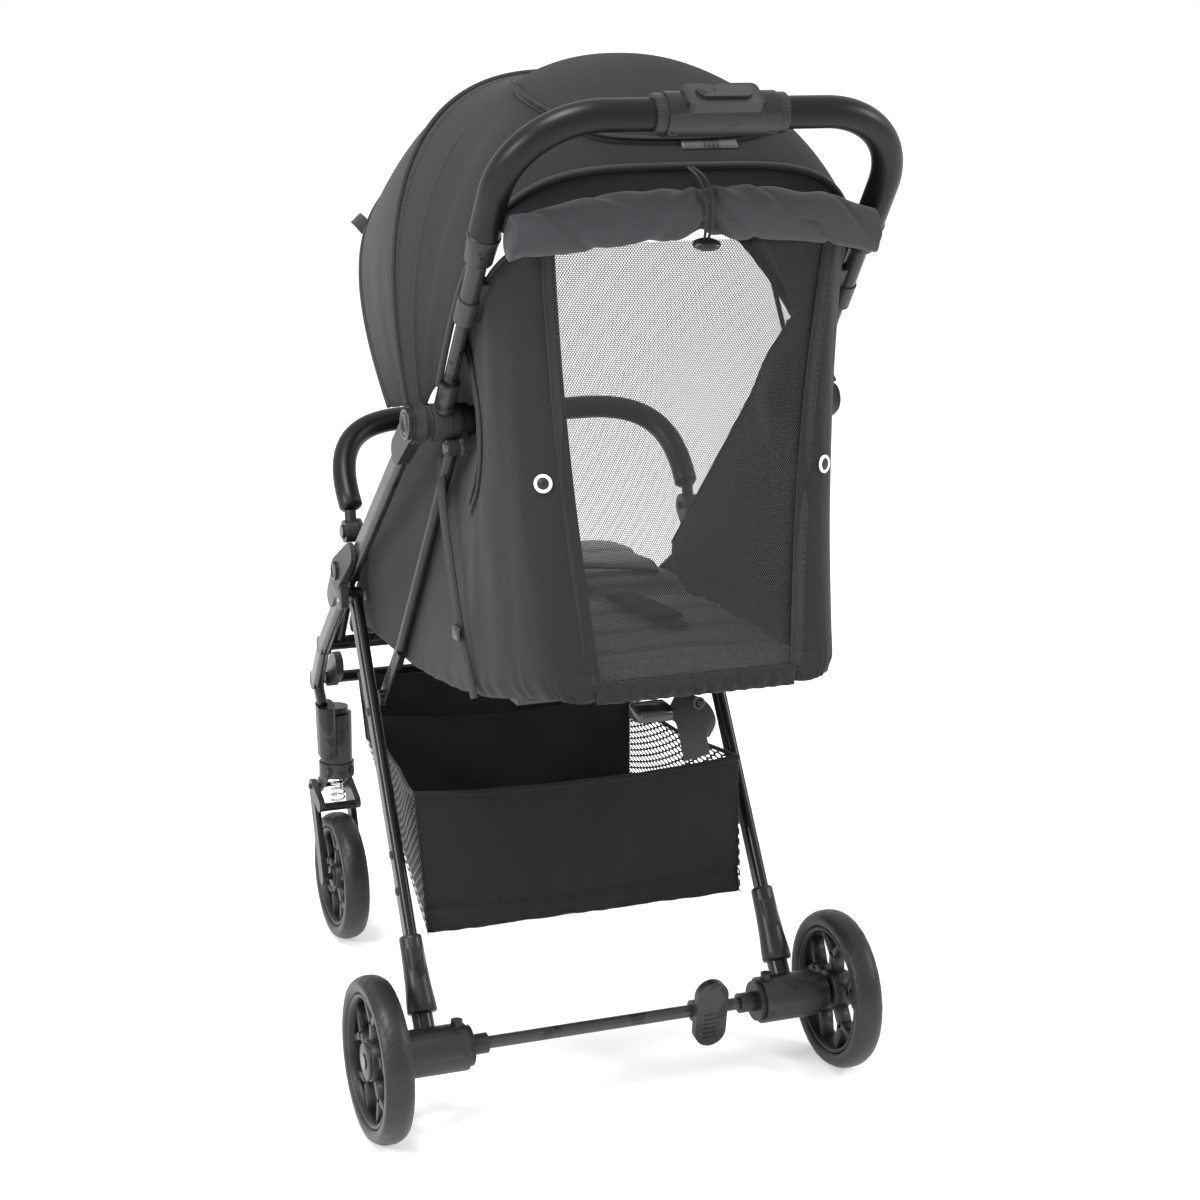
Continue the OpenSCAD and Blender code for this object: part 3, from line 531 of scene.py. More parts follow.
def turned(name, profile, centre, axis, material, steps=48):
    """A turned piece: profile is (distance along the axis, radius) pairs in millimetres."""
    axis = Vector(axis).normalized()
    side = axis.orthogonal().normalized()
    over = axis.cross(side)
    angle = np.linspace(0, 2 * math.pi, steps, endpoint=False)
    rings = [[tuple(Vector(centre) + axis * (h * MM)
                    + (side * math.cos(q) + over * math.sin(q)) * (max(r, 0.01) * MM))
              for q in angle] for h, r in profile]
    return ring_mesh(name, rings, material)


def pucker(point, scale, seed=0.0):
    """Smooth random value from -1 to 1 at a point of the cloth."""
    return noise.noise(Vector((point[0] * scale + seed, point[1] * scale, seed * 3.1)))


def stitch_line(name, path, up, material, length=0.0035, gap=0.0022, r=0.00035):
    """A row of raised thread stitches along a path, as one piece."""
    path = np.array([tuple(p) for p in path], float)
    far = np.concatenate([[0], np.cumsum(np.linalg.norm(np.diff(path, axis=0), axis=1))])
    starts = np.arange(0, far[-1] - length, length + gap)
    points, faces = [], []
    for s in starts:
        ends = [np.array([np.interp(q, far, path[:, k]) for k in range(3)])
                for q in (s, s + length / 2, s + length)]
        d = ends[2] - ends[0]
        d = d / np.linalg.norm(d)
        side = np.cross(d, up)
        side = side / max(np.linalg.norm(side), 1e-9)
        over = np.cross(side, d)
        base = len(points)
        for e, lift, size in zip(ends, (-0.6, 0.5, -0.6), (0.5, 1.0, 0.5)):
            for q in range(5):
                a = 2 * math.pi * q / 5
                points.append(e + (side * math.cos(a) + over * (math.sin(a) + lift)) * r * size)
        for ring in range(2):
            for q in range(5):
                k = base + ring * 5
                faces.append((k + q, k + 5 + q, k + 5 + (q + 1) % 5, k + (q + 1) % 5))
        faces.append(tuple(base + q for q in range(5)))
        faces.append(tuple(base + 10 + q for q in range(4, -1, -1)))
    return new_piece(name, points, faces, material, [(p[0], p[2]) for p in points])


# --------------------------------------------------------------------- canopy
# Each ring of the hood: angle about the hinge from the rear, half width, height,
# and how square its arch is
REAR_EDGE = (60.5, 197, 281, 4.2)
CROWN = (90, 204, 334, 2.4)
TUCK = (118, 205, 348, 2.1)
SEAM = (122, 216, 366, 2.5)
BRIM = (143, 232, 373, 2.8)


def hood_point(ring, turn, out=0.0):
    """A point of the hood on a ring: turn runs 0 to 180 degrees from left to right."""
    angle, half, high, square = ring
    power = 2 / square
    c, s = math.cos(math.radians(turn)), math.sin(math.radians(turn))
    x = math.copysign(abs(c) ** power, c) * (half + out)
    up = s**power * (high + out)
    a = math.radians(angle)
    return at(x, HINGE[0] + up * math.cos(a), HINGE[1] + up * math.sin(a))


def between(a, b, t):
    """A ring or place that lies a share t of the way from one to another."""
    return tuple(p + (q - p) * t for p, q in zip(a, b))


# Rings that the rear cloth passes over, from its edge at the back to the tuck
REAR_RINGS = [REAR_EDGE, between(REAR_EDGE, CROWN, 0.5), CROWN, between(CROWN, TUCK, 0.55), TUCK]


def spread_turns(ring, low, count):
    """Turns that lie evenly along the arch, from one low edge to the other."""
    turns = np.linspace(low, 180 - low, 721)
    pts = np.array([tuple(hood_point(ring, q)) for q in turns])
    far = np.concatenate([[0], np.cumsum(np.linalg.norm(np.diff(pts, axis=0), axis=1))])
    return np.interp(np.linspace(0, far[-1], count), far, turns)


def hood_grid(rings, rows, cols, low=1.2, sag=0.0, seed=1.0, out=0.0):
    """Cloth stretched over the bows, slack between them and puckered near the hinge."""
    curve = smooth_path(rings, rows)
    grid = []
    for i, ring in enumerate(curve):
        turns = spread_turns(ring, low, cols)
        row = []
        for q in turns:
            side = abs(q - 90) / 90
            gather = max(0.0, side - 0.66) / 0.34
            slack = -sag * math.sin(math.pi * i / (rows - 1))
            ripple = 1.5 * gather * (1 - gather) * math.sin(i / (rows - 1) * 19 + seed)
            broad = 1.1 * pucker((q / 60, i / rows), 1.6, seed)
            row.append(tuple(hood_point(ring, q, out + slack + ripple + broad)))
        grid.append(row)
    return np.array(grid)


def hood_line(ring, count, low=1.2, out=0.0):
    """Evenly spread points along one ring of the hood."""
    return [hood_point(ring, q, out) for q in spread_turns(ring, low, count)]


def make_hood():
    """Hood: dark rear cloth, narrow middle band, visor with its facing, and their pipings."""
    back = hood_grid(REAR_RINGS, 64, 150, sag=1.0, seed=0.4)
    rear = cloth_piece("hood_rear_cloth", back, FINISH["canopy_dark_fabric"])
    band_rings = [TUCK, between(TUCK, SEAM, 0.4), SEAM]
    band = hood_grid(band_rings, 14, 150, seed=2.0, out=0.5)
    middle = cloth_piece("hood_middle_cloth", band, FINISH["canopy_fabric"])
    visor_rings = [SEAM, (128, 222, 374, 2.6), (136, 228, 376, 2.7), BRIM]
    front = hood_grid(visor_rings, 34, 150, sag=1.5, seed=4.0)
    visor = cloth_piece("hood_visor_cloth", front, FINISH["canopy_fabric"])
    lip_rings = [BRIM, (144.5, 229, 368, 2.8), (142.5, 222, 357, 2.8)]
    lip = hood_grid(lip_rings, 10, 150, seed=5.0)
    under = cloth_piece("hood_brim_facing", lip, FINISH["canopy_dark_fabric"])

    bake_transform(rear)
    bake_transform(visor)
    finish_piece(rear, None, ["canopy_rear"])
    finish_piece(visor, None, ["canopy_front"])
    finish_piece(middle, "canopy")
    finish_piece(under, "visor")

    trims = {
        "canopy": [("hood_seam_piping", SEAM, 2.6, 2.4), ("hood_panel_piping", TUCK, 1.3, 1.0)],
        "visor": [("hood_brim_piping", BRIM, 2.4, 0.6)],
        "handle": [("hood_rear_binding", REAR_EDGE, 3.2, -0.6)],
    }
    for body, parts in trims.items():
        for name, ring, r, out in parts:
            piece = rounded_tube(name, hood_line(ring, 140, 1.2, out), r * MM, BINDING, 10, (0, 1, 0))
            finish_piece(piece, body)
    for name, body, ring, out in (
        ("hood_seam_stitches", "canopy", (120.9, 214.4, 361.8, 2.42), 1.4),
        ("hood_brim_stitches", "visor", (142.2, 232.2, 373.6, 2.8), 0.9),
    ):
        row = stitch_line(name, hood_line(ring, 240, 8, out), (0, 0, 1), BINDING)
        finish_piece(row, body)
    declare_sheet(back)
    declare_sheet(band)
    declare_sheet(front)
    declare_sheet(lip)


make_hood()


# ------------------------------------------------------------------ rear wall
WALL_LOW = (198, 498)
WALL_HIGH = (165, 910)
DRAWN_IN = 18.5


def span_cabin(piece, stands_for=()):
    """Bakes a piece's placing into its points and hides the CAD nodes that it stands for; the piece is tied
    to no body.
    """
    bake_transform(piece)
    finish_piece(piece, None, stands_for)


def wall_yz(t):
    """The rear wall's profile: drawn in between its foot and its top."""
    y, z = between(WALL_LOW, WALL_HIGH, t)
    return [y - DRAWN_IN * 4 * t * (1 - t), z]


def window_half(t):
    """Half width of the window at a share t of its height, in millimetres."""
    return 95 + (133 - 95) * t


def cabin_columns(side):
    """Bottom and top of the cabin cloth, from the window's edge round to the front."""
    pairs = [
        ((94, 199, 497), (133, 166, 912)),
        ((115, 199, 496), (140, 163, 912)),
        ((130, 196, 498), (150, 155, 910)),
        ((140, 189, 500), (160, 143, 902)),
        ((149, 176, 498), (169, 129, 890)),
        ((157, 152, 493), (175, 113, 874)),
        ((166, 118, 485), (175, 94, 856)),
        ((171, 85, 477), (173, 74, 842)),
        ((173, 50, 471), (170, 50, 828)),
        ((172, 5, 462), (169, 18, 804)),
        ((172, -45, 455), (171, -35, 752)),
        ((172, -100, 449), (174, -98, 696)),
        ((173, -160, 446), (178, -165, 636)),
        ((175, -225, 448), (181, -225, 582)),
        ((178, -285, 453), (185, -298, 516)),
    ]
    low = smooth_path([(side * a[0], a[1], a[2]) for a, b in pairs], 150)
    high = smooth_path([(side * b[0], b[1], b[2]) for a, b in pairs], 150)
    return low, high


def cabin_grid(side):
    """Side cloth with soft hanging folds and a hem drawn in by elastic."""
    low, high = cabin_columns(side)
    rows = 70
    cols = len(low)
    grid = np.empty((rows, cols, 3))
    for j in range(cols):
        share = j / (cols - 1)
        for i in range(rows):
            t = i / (rows - 1)
            p = low[j] + (high[j] - low[j]) * t
            p[1] -= DRAWN_IN * 4 * t * (1 - t) * max(0.0, min(1.0, (0.62 - share) / 0.25))
            hang = math.sin(math.pi * min(1.0, t * 1.02)) ** 0.7
            fold = 3.0 * hang * pucker((share * 9, t * 0.9), 1.25, 3.3 * side)
            fold += 0.8 * hang * pucker((share * 13 + t, t * 2.4), 1.4, 8.0 + side)
            fold += 0.9 * math.exp(-(t / 0.05) ** 2) * math.sin(share * 120 + 5 * pucker((share, 0), 14))
            belly = 5.0 * math.sin(math.pi * t) * max(0.0, 1 - abs(share - 0.22) / 0.2)
            out = np.array([side * min(1.0, share / 0.22), max(0.0, 1 - share / 0.22), 0.0])
            tuck = 7.0 * math.exp(-(t / 0.022) ** 2)
            tuck += 19 * math.exp(-((p[1] - HINGE[0]) ** 2 + (p[2] - HINGE[1]) ** 2) / 46**2)
            q = p + out * (fold + belly * 0.6 - tuck)
            grid[i, j] = tuple(at(*q))
    return grid


def net_grid():
    """The window net, stretched between the two tapes and slightly hollow."""
    def place(f, share):
        """A point of the net, from just above the hem to just below the roll."""
        t = 0.03 + 0.965 * share
        y, z = wall_yz(t)
        ease = (1 - f * f) * math.sin(math.pi * t)
        return at((window_half(t) + 3) * f, y - 1.5 + 2.2 * ease, z)

    return sheet_grid(60, 60, place)


def hem_spot(f, t):
    """A point of the gathered cloth under the window."""
    gather = 1.3 * math.sin(40.05 * (f + 1) + 2 * pucker((f, t), 5))
    bulge = (3.5 * math.sin(math.pi * t) + gather) * (1 - f**8)
    return at(99 * f, WALL_LOW[0] - 3 + bulge, WALL_LOW[1] - 4 + 20 * t)


def make_rear_wall():
    """Cabin cloth on both sides, window net, tapes, stitches, hinge pipings and hem."""
    for word, side in SIDES.items():
        grid = cabin_grid(side)
        piece = cloth_piece(f"cabin_cloth_{word}", grid, FINISH["cabin_fabric"])
        span_cabin(piece, [f"side_wall_{word}"])
        tape_path = [at(side * (window_half(t) + 5), wall_yz(t)[0] + 0.9 + 0.5 * math.sin(t * 9),
                        wall_yz(t)[1]) for t in np.linspace(0.035, 1.0, 60)]
        tape = strap(f"window_tape_{word}", tape_path, 0.013, 0.0012, (0, 1, 0), BINDING)
        span_cabin(tape)
        for name, shift in (("outer", 10), ("inner", 0.8)):
            path = [p + Vector((side * (shift - 5) * MM, 0.0009, 0)) for p in tape_path]
            row = stitch_line(f"window_stitches_{name}_{word}", path, (0, 1, 0),
                              FINISH["cabin_fabric"])
            span_cabin(row)
        hem_path = [Vector(p) for p in grid[5, :140]]
        hem = stitch_line(f"hem_stitches_{word}", [p + Vector((0, 0.0012, 0)) for p in hem_path],
                          (0, 1, 0), BINDING)
        span_cabin(hem)
        rim = [Vector(p) for p in grid[-1, 36:]]
        piping = rounded_tube(f"cabin_piping_{word}", rim, 2.2 * MM, BINDING, 10, (1, 0, 0))
        span_cabin(piping)
        for row, reach in (("outer", 88), ("inner", 79)):
            ring_path = []
            for q in np.linspace(78, -50, 40):
                y = AXLE_Y + (HINGE[0] - 16 + reach * math.cos(math.radians(q))) * MM
                z = (HINGE[1] - 6 + 1.1 * reach * math.sin(math.radians(q))) * MM
                near = np.hypot(grid[:, :, 1] - y, grid[:, :, 2] - z)
                a, b = np.unravel_index(np.argmin(near), near.shape)
                ring_path.append((grid[a, b, 0] + side * 2.2 * MM, y, z))
            arc = rounded_tube(f"hinge_piping_{row}_{word}", smooth_path(ring_path, 60), 2.0 * MM,
                               BINDING, 8, (1, 0, 0))
            span_cabin(arc)
        declare_sheet(grid)
    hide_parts("rear_wall")
    grid = net_grid()
    window = cloth_piece("window_net", grid, FINISH["mesh_fabric"], 0.0005)
    span_cabin(window, ["window_mesh"])
    declare_sheet(grid)
    hem_grid = sheet_grid(14, 90, hem_spot)
    band = cloth_piece("window_hem", hem_grid, FINISH["cabin_fabric"], 0.0016)
    finish_piece(band, "frame")
    declare_sheet(hem_grid)


make_rear_wall()


def make_eyelets():
    """White rings pressed into the cloth at both sides of the window, each with a dark disc in its opening
    as painted shade of the hole.
    """
    for word, side in SIDES.items():
        grid = cabin_grid(side)
        normals = grid_normals(grid)
        far = np.linalg.norm(grid - np.array(at(side * 137, 158, 696)), axis=2)
        i, j = np.unravel_index(np.argmin(far), far.shape)
        out = Vector(normals[i, j])
        if out.y < 0:
            out = -out
        centre = Vector(grid[i, j]) + out * 1.6 * MM
        profile = [(-1.0, 5.4), (-0.6, 8.4), (0.6, 8.7), (1.4, 8.0), (1.8, 7.0), (1.4, 6.0), (0.4, 5.4)]
        ring = turned(f"eyelet_{word}", profile, centre, out, WHITE_PLASTIC, 40)
        span_cabin(ring)
        # A dark disc fills the ring's opening: painted shade seen through the hole.
        dark = turned(f"eyelet_hole_shade_{word}", [(0.3, 6.0), (0.75, 5.7), (0.8, 0.2)], centre, out,
                      FINISH["rim_plastic"], 30)
        span_cabin(dark)


make_eyelets()


# ---------------------------------------------------------------- rolled flap
def vent_spot(f, t):
    """A point of the cloth between the rolled cover and the hood's rear edge."""
    low = at(170 * f, 173 - 9 * f * f, 934 - 18 * f * f)
    top = hood_point(REAR_EDGE, 90 - 52 * f, -2)
    return low + (top - low) * t - Vector((0, 4 * MM * math.sin(math.pi * t), 0))


def make_flap():
    """Rolled window cover with its tie cord and toggle, and the cloth above it."""
    count, sides = 190, 52
    rings = []
    for i in range(count):
        f = 2 * i / (count - 1) - 1
        droop = 16 * f * f + 5 * f**4 * (1 if f < 0 else 0.4)
        centre = at(176 * f, 184 - 8 * f * f, 934 - droop + 3.5 * math.exp(-((f / 0.1) ** 2)))
        pinch = 1 - 0.3 * math.exp(-((f / 0.055) ** 2))
        base = 20.5 * (1 - 0.1 * f * f) * pinch
        ring = []
        for k in range(sides):
            a = 2 * math.pi * k / sides
            lap = 1.2 * math.cos(a * 2 + 5 * f)
            lap += 3.4 * pucker((f * 2.6 + 0.5 * math.sin(a + 3 * f), a * 0.45), 1.5, 5.0)
            near = math.exp(-((f / 0.3) ** 2))
            fold = 2.1 * near * math.sin(a * 4 + 30 * abs(f) + 1.2)
            slant = math.sin(a * 2.0 - 15 * f + 1.4 * pucker((f * 2, 0), 2.0, 9.0))
            fold -= 2.6 * (1 - near) * max(0.0, slant) ** 6
            r = base + lap + fold
            spread = Vector((0, math.cos(a) * 0.9, math.sin(a) * 1.12))
            ring.append(tuple(centre + spread * (r * MM)))
        rings.append(ring)
    roll = ring_mesh("rolled_window_cover", rings, FLAP_CLOTH)
    finish_piece(roll, "handle", ["rolled_flap"])
    band = sheet_grid(12, 90, vent_spot)
    net_strip = cloth_piece("hood_vent_cloth", band, FINISH["basket_fabric"], 0.001)
    finish_piece(net_strip, "handle")
    declare_sheet(band)
    for word, side in SIDES.items():
        loop = smooth_path([at(side * 2.2, 160, 972), at(side * 3, 182, 966),
                            at(side * 3.2, 197, 955), at(side * 3.2, 203, 938),
                            at(side * 2.6, 201, 922), at(side * 1.6, 196, 910)], 50)
        elastic = rounded_tube(f"tie_cord_{word}", loop, 1.3 * MM, BINDING, 10, (1, 0, 0))
        finish_piece(elastic, "handle")
    spot = at(0, 198, 908)
    profile = [(-4, 1), (-3.6, 9), (-2, 12.5), (0, 13.5), (2, 12.5), (3.6, 9), (4, 1)]
    toggle = turned("tie_toggle", profile, spot, (0, 0.25, 1), FINISH["gloss_plastic"], 36)
    toggle.scale = (1, 0.62, 1)
    toggle.location.y = spot.y * 0.38
    finish_piece(toggle, "handle")


make_flap()


# --------------------------------------------------------------------- handle
def grip_line(r_bend, half, count=26):
    """The handle's centre line, from the left arm over the bar to the right arm."""
    top = HANDLE_LENGTH
    points = [on_handle(half, 0, GRIP_FROM + 1 + (top - r_bend - GRIP_FROM) * k / 12) for k in range(12)]
    for k in range(count + 1):
        a = math.radians(90 * k / count)
        across, along = half - r_bend + r_bend * math.cos(a), top - r_bend + r_bend * math.sin(a)
        points.append(on_handle(across, 0, along))
    points += [on_handle((half - r_bend) * (1 - k / 10), 0, top) for k in range(1, 10)]
    mirrored = [Vector((-p.x, p.y, p.z)) for p in reversed(points)]
    return points + [on_handle(0, 0, top)] + mirrored


def make_handle():
    """Foam grip, the cuffs at its ends, and the screws of the button house."""
    line = grip_line(GRIP_BEND, HANDLE_HALF)
    grip = rounded_tube("handle_foam", line, GRIP_R * MM, FINISH["grip_foam"], 36, (0, 1, 0))
    finish_piece(grip, "handle_slide", ["handle_grip"])
    way = on_handle(0, 0, 1) - on_handle(0, 0, 0)
    face = on_handle(0, 1, 0) - on_handle(0, 0, 0)
    for word, side in SIDES.items():
        base = on_handle(side * HANDLE_HALF, 0, GRIP_FROM - 26)
        cuff = [(0, 9.2), (0.5, 12.4), (2, 13.2), (24, 14.6), (29, 15.6), (31, 15.4), (31.5, 14.2)]
        piece = turned(f"grip_cuff_{word}", cuff, base, way, FINISH["satin_plastic"], 48)
        finish_piece(piece, "handle_slide")
        slot_spot = on_handle(side * (HANDLE_HALF + 4), 13.2, GRIP_FROM - 10)
        mark = turned(f"grip_cuff_slot_{word}", [(-0.4, 3.4), (0.6, 3.2), (0.7, 1)], slot_spot,
                      face, FINISH["rim_plastic"], 24)
        finish_piece(mark, "handle_slide")
    for word, side in SIDES.items():
        spot = on_handle(side * 47, 19.0, HANDLE_LENGTH - 4)
        screw = [(-1, 4.6), (0.2, 4.6), (0.5, 4.0), (0.3, 2.6), (-0.6, 2.2), (-0.7, 0.3)]
        piece = turned(f"handle_screw_{word}", screw, spot, face, FINISH["rim_plastic"], 24)
        finish_piece(piece, "handle_slide")


make_handle()


# --------------------------------------------------------------------- bumper
def make_bumper():
    """Foam cover of the bumper bar, bowed up and forward between its two ends."""
    a, b, c, d = (193, -283, 588), (203, -372, 690), (97, -362, 660), (0, -362, 660)
    half = []
    for k in range(31):
        t = k / 30
        half.append([(1 - t) ** 3 * p + 3 * (1 - t) ** 2 * t * q + 3 * (1 - t) * t * t * r + t**3 * s
                     for p, q, r, s in zip(a, b, c, d)])
    line = [at(*p) for p in half] + [at(-p[0], p[1], p[2]) for p in reversed(half[:-1])]
    bar = rounded_tube("bumper_foam", line, 12.5 * MM, FINISH["grip_foam"], 30, (0, 1, 0))
    finish_piece(bar, "bumper", ["bumper_bar"])


make_bumper()


# --------------------------------------------------------------------- wheels
def make_tyre(name, body, node, centre, radius, blocks):
    """Tyre with angled tread blocks cut by grooves."""
    profile = [(-12.4, radius - 16.4), (-14.4, radius - 13), (-15, radius - 10), (-14.8, radius - 6.5)]
    profile += [(-14.2 + 28.4 * k / 26, radius - 0.4 - 4.8 * abs(k / 13 - 1) ** 2.6) for k in range(27)]
    profile += [(14.8, radius - 6.5), (15, radius - 10), (14.4, radius - 13), (12.4, radius - 16.4)]
    steps = 288
    rings = []
    for s in range(steps):
        a = 2 * math.pi * s / steps
        ring = []
        for h, r in profile:
            q = abs(h) / 15
            phase = (a * blocks / (2 * math.pi) + q * 0.9) % 1.0
            groove = 0.0
            if r > radius - 7:
                near = min(phase, 1 - phase)
                groove = 1.0 * max(0.0, 1 - near / 0.07) * (0.25 + 0.75 * q)
                second = abs(((a * blocks / (2 * math.pi) - q * 1.4) % 1.0) - 0.5)
                groove = max(groove, 0.6 * max(0.0, 1 - second / 0.05) * (q > 0.45))
            rr = (r - groove) * MM
            ring.append((centre.x + h * MM, centre.y + rr * math.cos(a), centre.z + rr * math.sin(a)))
        rings.append(ring)
    piece = ring_mesh(name, rings, FINISH["tyre"], closed=True)
    finish_piece(piece, body, [node])


def plate(name, outline, centre, x0, x1, bevel, material):
    """A flat piece cut to an outline (Y, Z pairs in millimetres), with bevelled edges."""
    middle = np.array(outline).mean(axis=0)
    rings = []
    for x, inset in ((x0, bevel), (x0 + bevel, 0), (x1 - bevel, 0), (x1, bevel)):
        ring = []
        for y, z in outline:
            d = np.array((y, z)) - middle
            length = max(np.linalg.norm(d), 1e-6)
            y2, z2 = np.array((y, z)) - d / length * inset
            ring.append((centre.x + x * MM, centre.y + y2 * MM, centre.z + z2 * MM))
        rings.append(ring)
    return ring_mesh(name, rings, material)


def bar_between(a, b, wide_a, wide_b):
    """Corners of a tapering spoke between two (Y, Z) points."""
    a, b = np.array(a), np.array(b)
    d = (b - a) / np.linalg.norm(b - a)
    n = np.array((-d[1], d[0]))
    return [a - n * wide_a / 2, b - n * wide_b / 2, b + n * wide_b / 2, a + n * wide_a / 2]


def join(name, parts):
    """Joins pieces into one, which takes the given name."""
    bpy.ops.object.select_all(action="DESELECT")
    for p in parts:
        p.select_set(True)
    bpy.context.view_layer.objects.active = parts[0]
    bpy.ops.object.join()
    parts[0].name = name
    parts[0].data.name = name
    return parts[0]


def make_rim(name, body, node, centre, radius, hub, side):
    """Wheel body: a channel for the tyre, five forked spokes, and a hub with a cap."""
    seat = radius - 16.6
    channel = [(-12, seat - 1), (-12.4, seat - 3), (-11.5, seat - 5), (-4, seat - 6), (4, seat - 6),
               (11.5, seat - 5), (12.4, seat - 3), (12, seat - 1), (5, seat), (-5, seat)]
    steps = 96
    rings = [[(centre.x + h * MM, centre.y + r * MM * math.cos(a), centre.z + r * MM * math.sin(a))
              for h, r in channel] for a in (2 * math.pi * s / steps for s in range(steps))]
    parts = [ring_mesh(name + "_channel", rings, FINISH["rim_plastic"], closed=True)]
    for k in range(5):
        a = math.radians(90 + 72 * k)

        def spot(r, turn):
            """Point of the wheel's face at a radius and a turn from this spoke, in millimetres."""
            return (r * math.cos(a + math.radians(turn)), r * math.sin(a + math.radians(turn)))

        fork = hub + (seat - hub) * 0.42
        shapes = [bar_between(spot(hub - 3, 0), spot(fork + 2, 0), 11, 9)]
        shapes += [bar_between(spot(fork - 2, 0), spot(seat - 4, t), 8, 7) for t in (-21, 21)]
        for i, shape in enumerate(shapes):
            parts.append(plate(f"{name}_spoke_{k}_{i}", shape, centre, -7, 7, 1.2, FINISH["rim_plastic"]))
    x = (1, 0, 0)
    drum = [(-11, 5), (-11, hub - 1.5), (-9.5, hub), (9.5, hub), (11, hub - 1.5), (11, 5)]
    parts.append(turned(name + "_drum", drum, centre, x, FINISH["rim_plastic"], 64))
    piece = join(name, parts)
    finish_piece(piece, body, [node])
    face = [(9.6, hub - 3), (11.4, hub - 2), (13.2, hub - 2.6), (13.9, hub - 5), (13.6, hub - 6.2),
            (14.0, hub - 7.5), (14.2, 1)]
    cap = turned(name + "_cap", face, centre, (side, 0, 0), FINISH["satin_plastic"], 64)
    finish_piece(cap, body)


def make_wheels():
    """Four wheels, each a tyre with its tread and a spoked body, placed by the CAD tyres."""
    for word, side in SIDES.items():
        for place, radius, hub, blocks in (("rear", 85, 21, 30), ("front", 77, 15, 28)):
            low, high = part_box(f"{place}_tyre_{word}")
            centre = (low + high) / 2
            body = f"{place}_wheel_{word}"
            make_tyre(f"{place}_tread_{word}", body, f"{place}_tyre_{word}", centre, radius, blocks)
            make_rim(f"{place}_wheel_body_{word}", body, f"{place}_rim_{word}", centre, radius, hub, side)


make_wheels()


# --------------------------------------------------------------------- basket
def basket_corner(u, t):
    """Left side's rim: u runs from the back to the front, t from low to high."""
    low = between((176, -78, 174), (128, -468, 266), u)
    high = between((182, -104, 321), (134, -476, 344), u)
    return between(low, high, t)


def basket_back_spot(f, t):
    """A point of the basket's back, gathered along the seam near its foot."""
    x, y, z = basket_corner(0, t)
    sag = -9 * (1 - f * f) * t
    gather = 1.8 * math.exp(-((t - 0.1) / 0.13) ** 2) * math.sin(31.15 * (f + 1) + 3 * pucker((f, t), 4))
    gather -= 3.2 * math.exp(-((t - 0.18) / 0.028) ** 2)
    fold = 3.4 * pucker((f * 2.6 + 0.5 * t, t), 1.4, 11.0)
    belly = 6 * (1 - f * f) * math.sin(math.pi * t)
    lift = 4 * math.exp(-(t / 0.1) ** 2)
    return at(x * f, y + gather + fold + belly - 2, z + sag + lift)


def basket_floor_spot(f, u):
    """A point of the basket's floor, which dips between its edges."""
    x, y, z = basket_corner(u, 0)
    dip = 5 * (1 - f * f) * math.sin(math.pi * u)
    wave = 1.5 * pucker((f * 2, u * 3), 1.2)
    return at(x * f * 0.985, y - 2, z + 5 - dip + wave)


def basket_wall(u, inset, sag, seed):
    """Cloth wall across the basket, a share u of the way to its front."""
    def place(f, t):
        """A point of the wall, whose top edge hangs by sag in its middle."""
        x, y, z = basket_corner(u, t)
        return at((x - inset) * f, y + 2 * pucker((f * 2, t), 2, seed), z - sag * (1 - f * f) * t)

    return sheet_grid(24, 60, place)


def basket_net(side):
    """Net side of the basket, waved where it hangs free."""
    def place(f, t):
        """A point of the net: f runs from the back to the front."""
        u = (f + 1) / 2
        x, y, z = basket_corner(u, t)
        wave = 3.0 * math.sin(math.pi * t) * math.sin(u * 11) + 2 * t * math.sin(u * 17)
        sag = -16 * math.sin(math.pi * u) * t
        return at(side * (x + wave * 0.6), y, z + sag + 3 * (1 - t))

    return sheet_grid(30, 80, place)


def make_basket():
    """Cloth basket: solid back, floor and front, and net sides."""
    fabric = FINISH["basket_fabric"]
    back = sheet_grid(40, 90, basket_back_spot)
    rear = cloth_piece("basket_back", back, fabric, 0.0014)
    floor_grid = sheet_grid(50, 50, basket_floor_spot)
    floor = cloth_piece("basket_floor", floor_grid, fabric, 0.002)
    front = basket_wall(1, 0, 7, 3.0)
    nose = cloth_piece("basket_front", front, fabric, 0.0014)
    divider = basket_wall(0.62, 2, 12, 5.0)
    wall = cloth_piece("basket_divider", divider, fabric, 0.0014)
    seam_path = [Vector(p) + Vector((0, 0.0016, 0)) for p in back[7]]
    seam = stitch_line("basket_back_seam", seam_path, (0, 1, 0), BINDING, 0.004, 0.0022, 0.0005)
    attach(seam, "frame")
    pieces = [(rear, back, "gathered"), (floor, floor_grid, "stretched"), (nose, front, "stretched"),
              (wall, divider, "hung")]
    for word, side in SIDES.items():
        net_side = basket_net(side)
        sheet = cloth_piece(f"basket_net_{word}", net_side, BASKET_NET, 0.0005)
        pieces.append((sheet, net_side, "gathered"))
        rim = rounded_tube(f"basket_rim_{word}", net_side[-1], 2.4 * MM, BINDING, 10, (0, 0, 1))
        pieces.append((rim, None, None))
    band = rounded_tube("basket_back_rim", back[-1], 3.4 * MM, fabric, 12, (0, 0, 1))
    pieces += [(band, None, None), (seam, None, None)]
    for piece, grid, held in pieces:
        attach(piece, "frame")
        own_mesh(piece)
        if grid is not None:
            declare_sheet(grid)
    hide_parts("basket")


make_basket()


# ----------------------------------------------------------- details of hood
def hood_spot(angle, x, out=0.0):
    """A point on the rear hood cloth, by its angle about the hinge and its X."""
    half, high, square = (float(np.interp(angle, [r[0] for r in REAR_RINGS],
                                          [r[k] for r in REAR_RINGS])) for k in (1, 2, 3))
    turn = math.degrees(math.acos(max(-1.0, min(1.0, math.copysign((abs(x) / half) ** (square / 2), x)))))
    return hood_point((angle, half, high, square), turn, out)


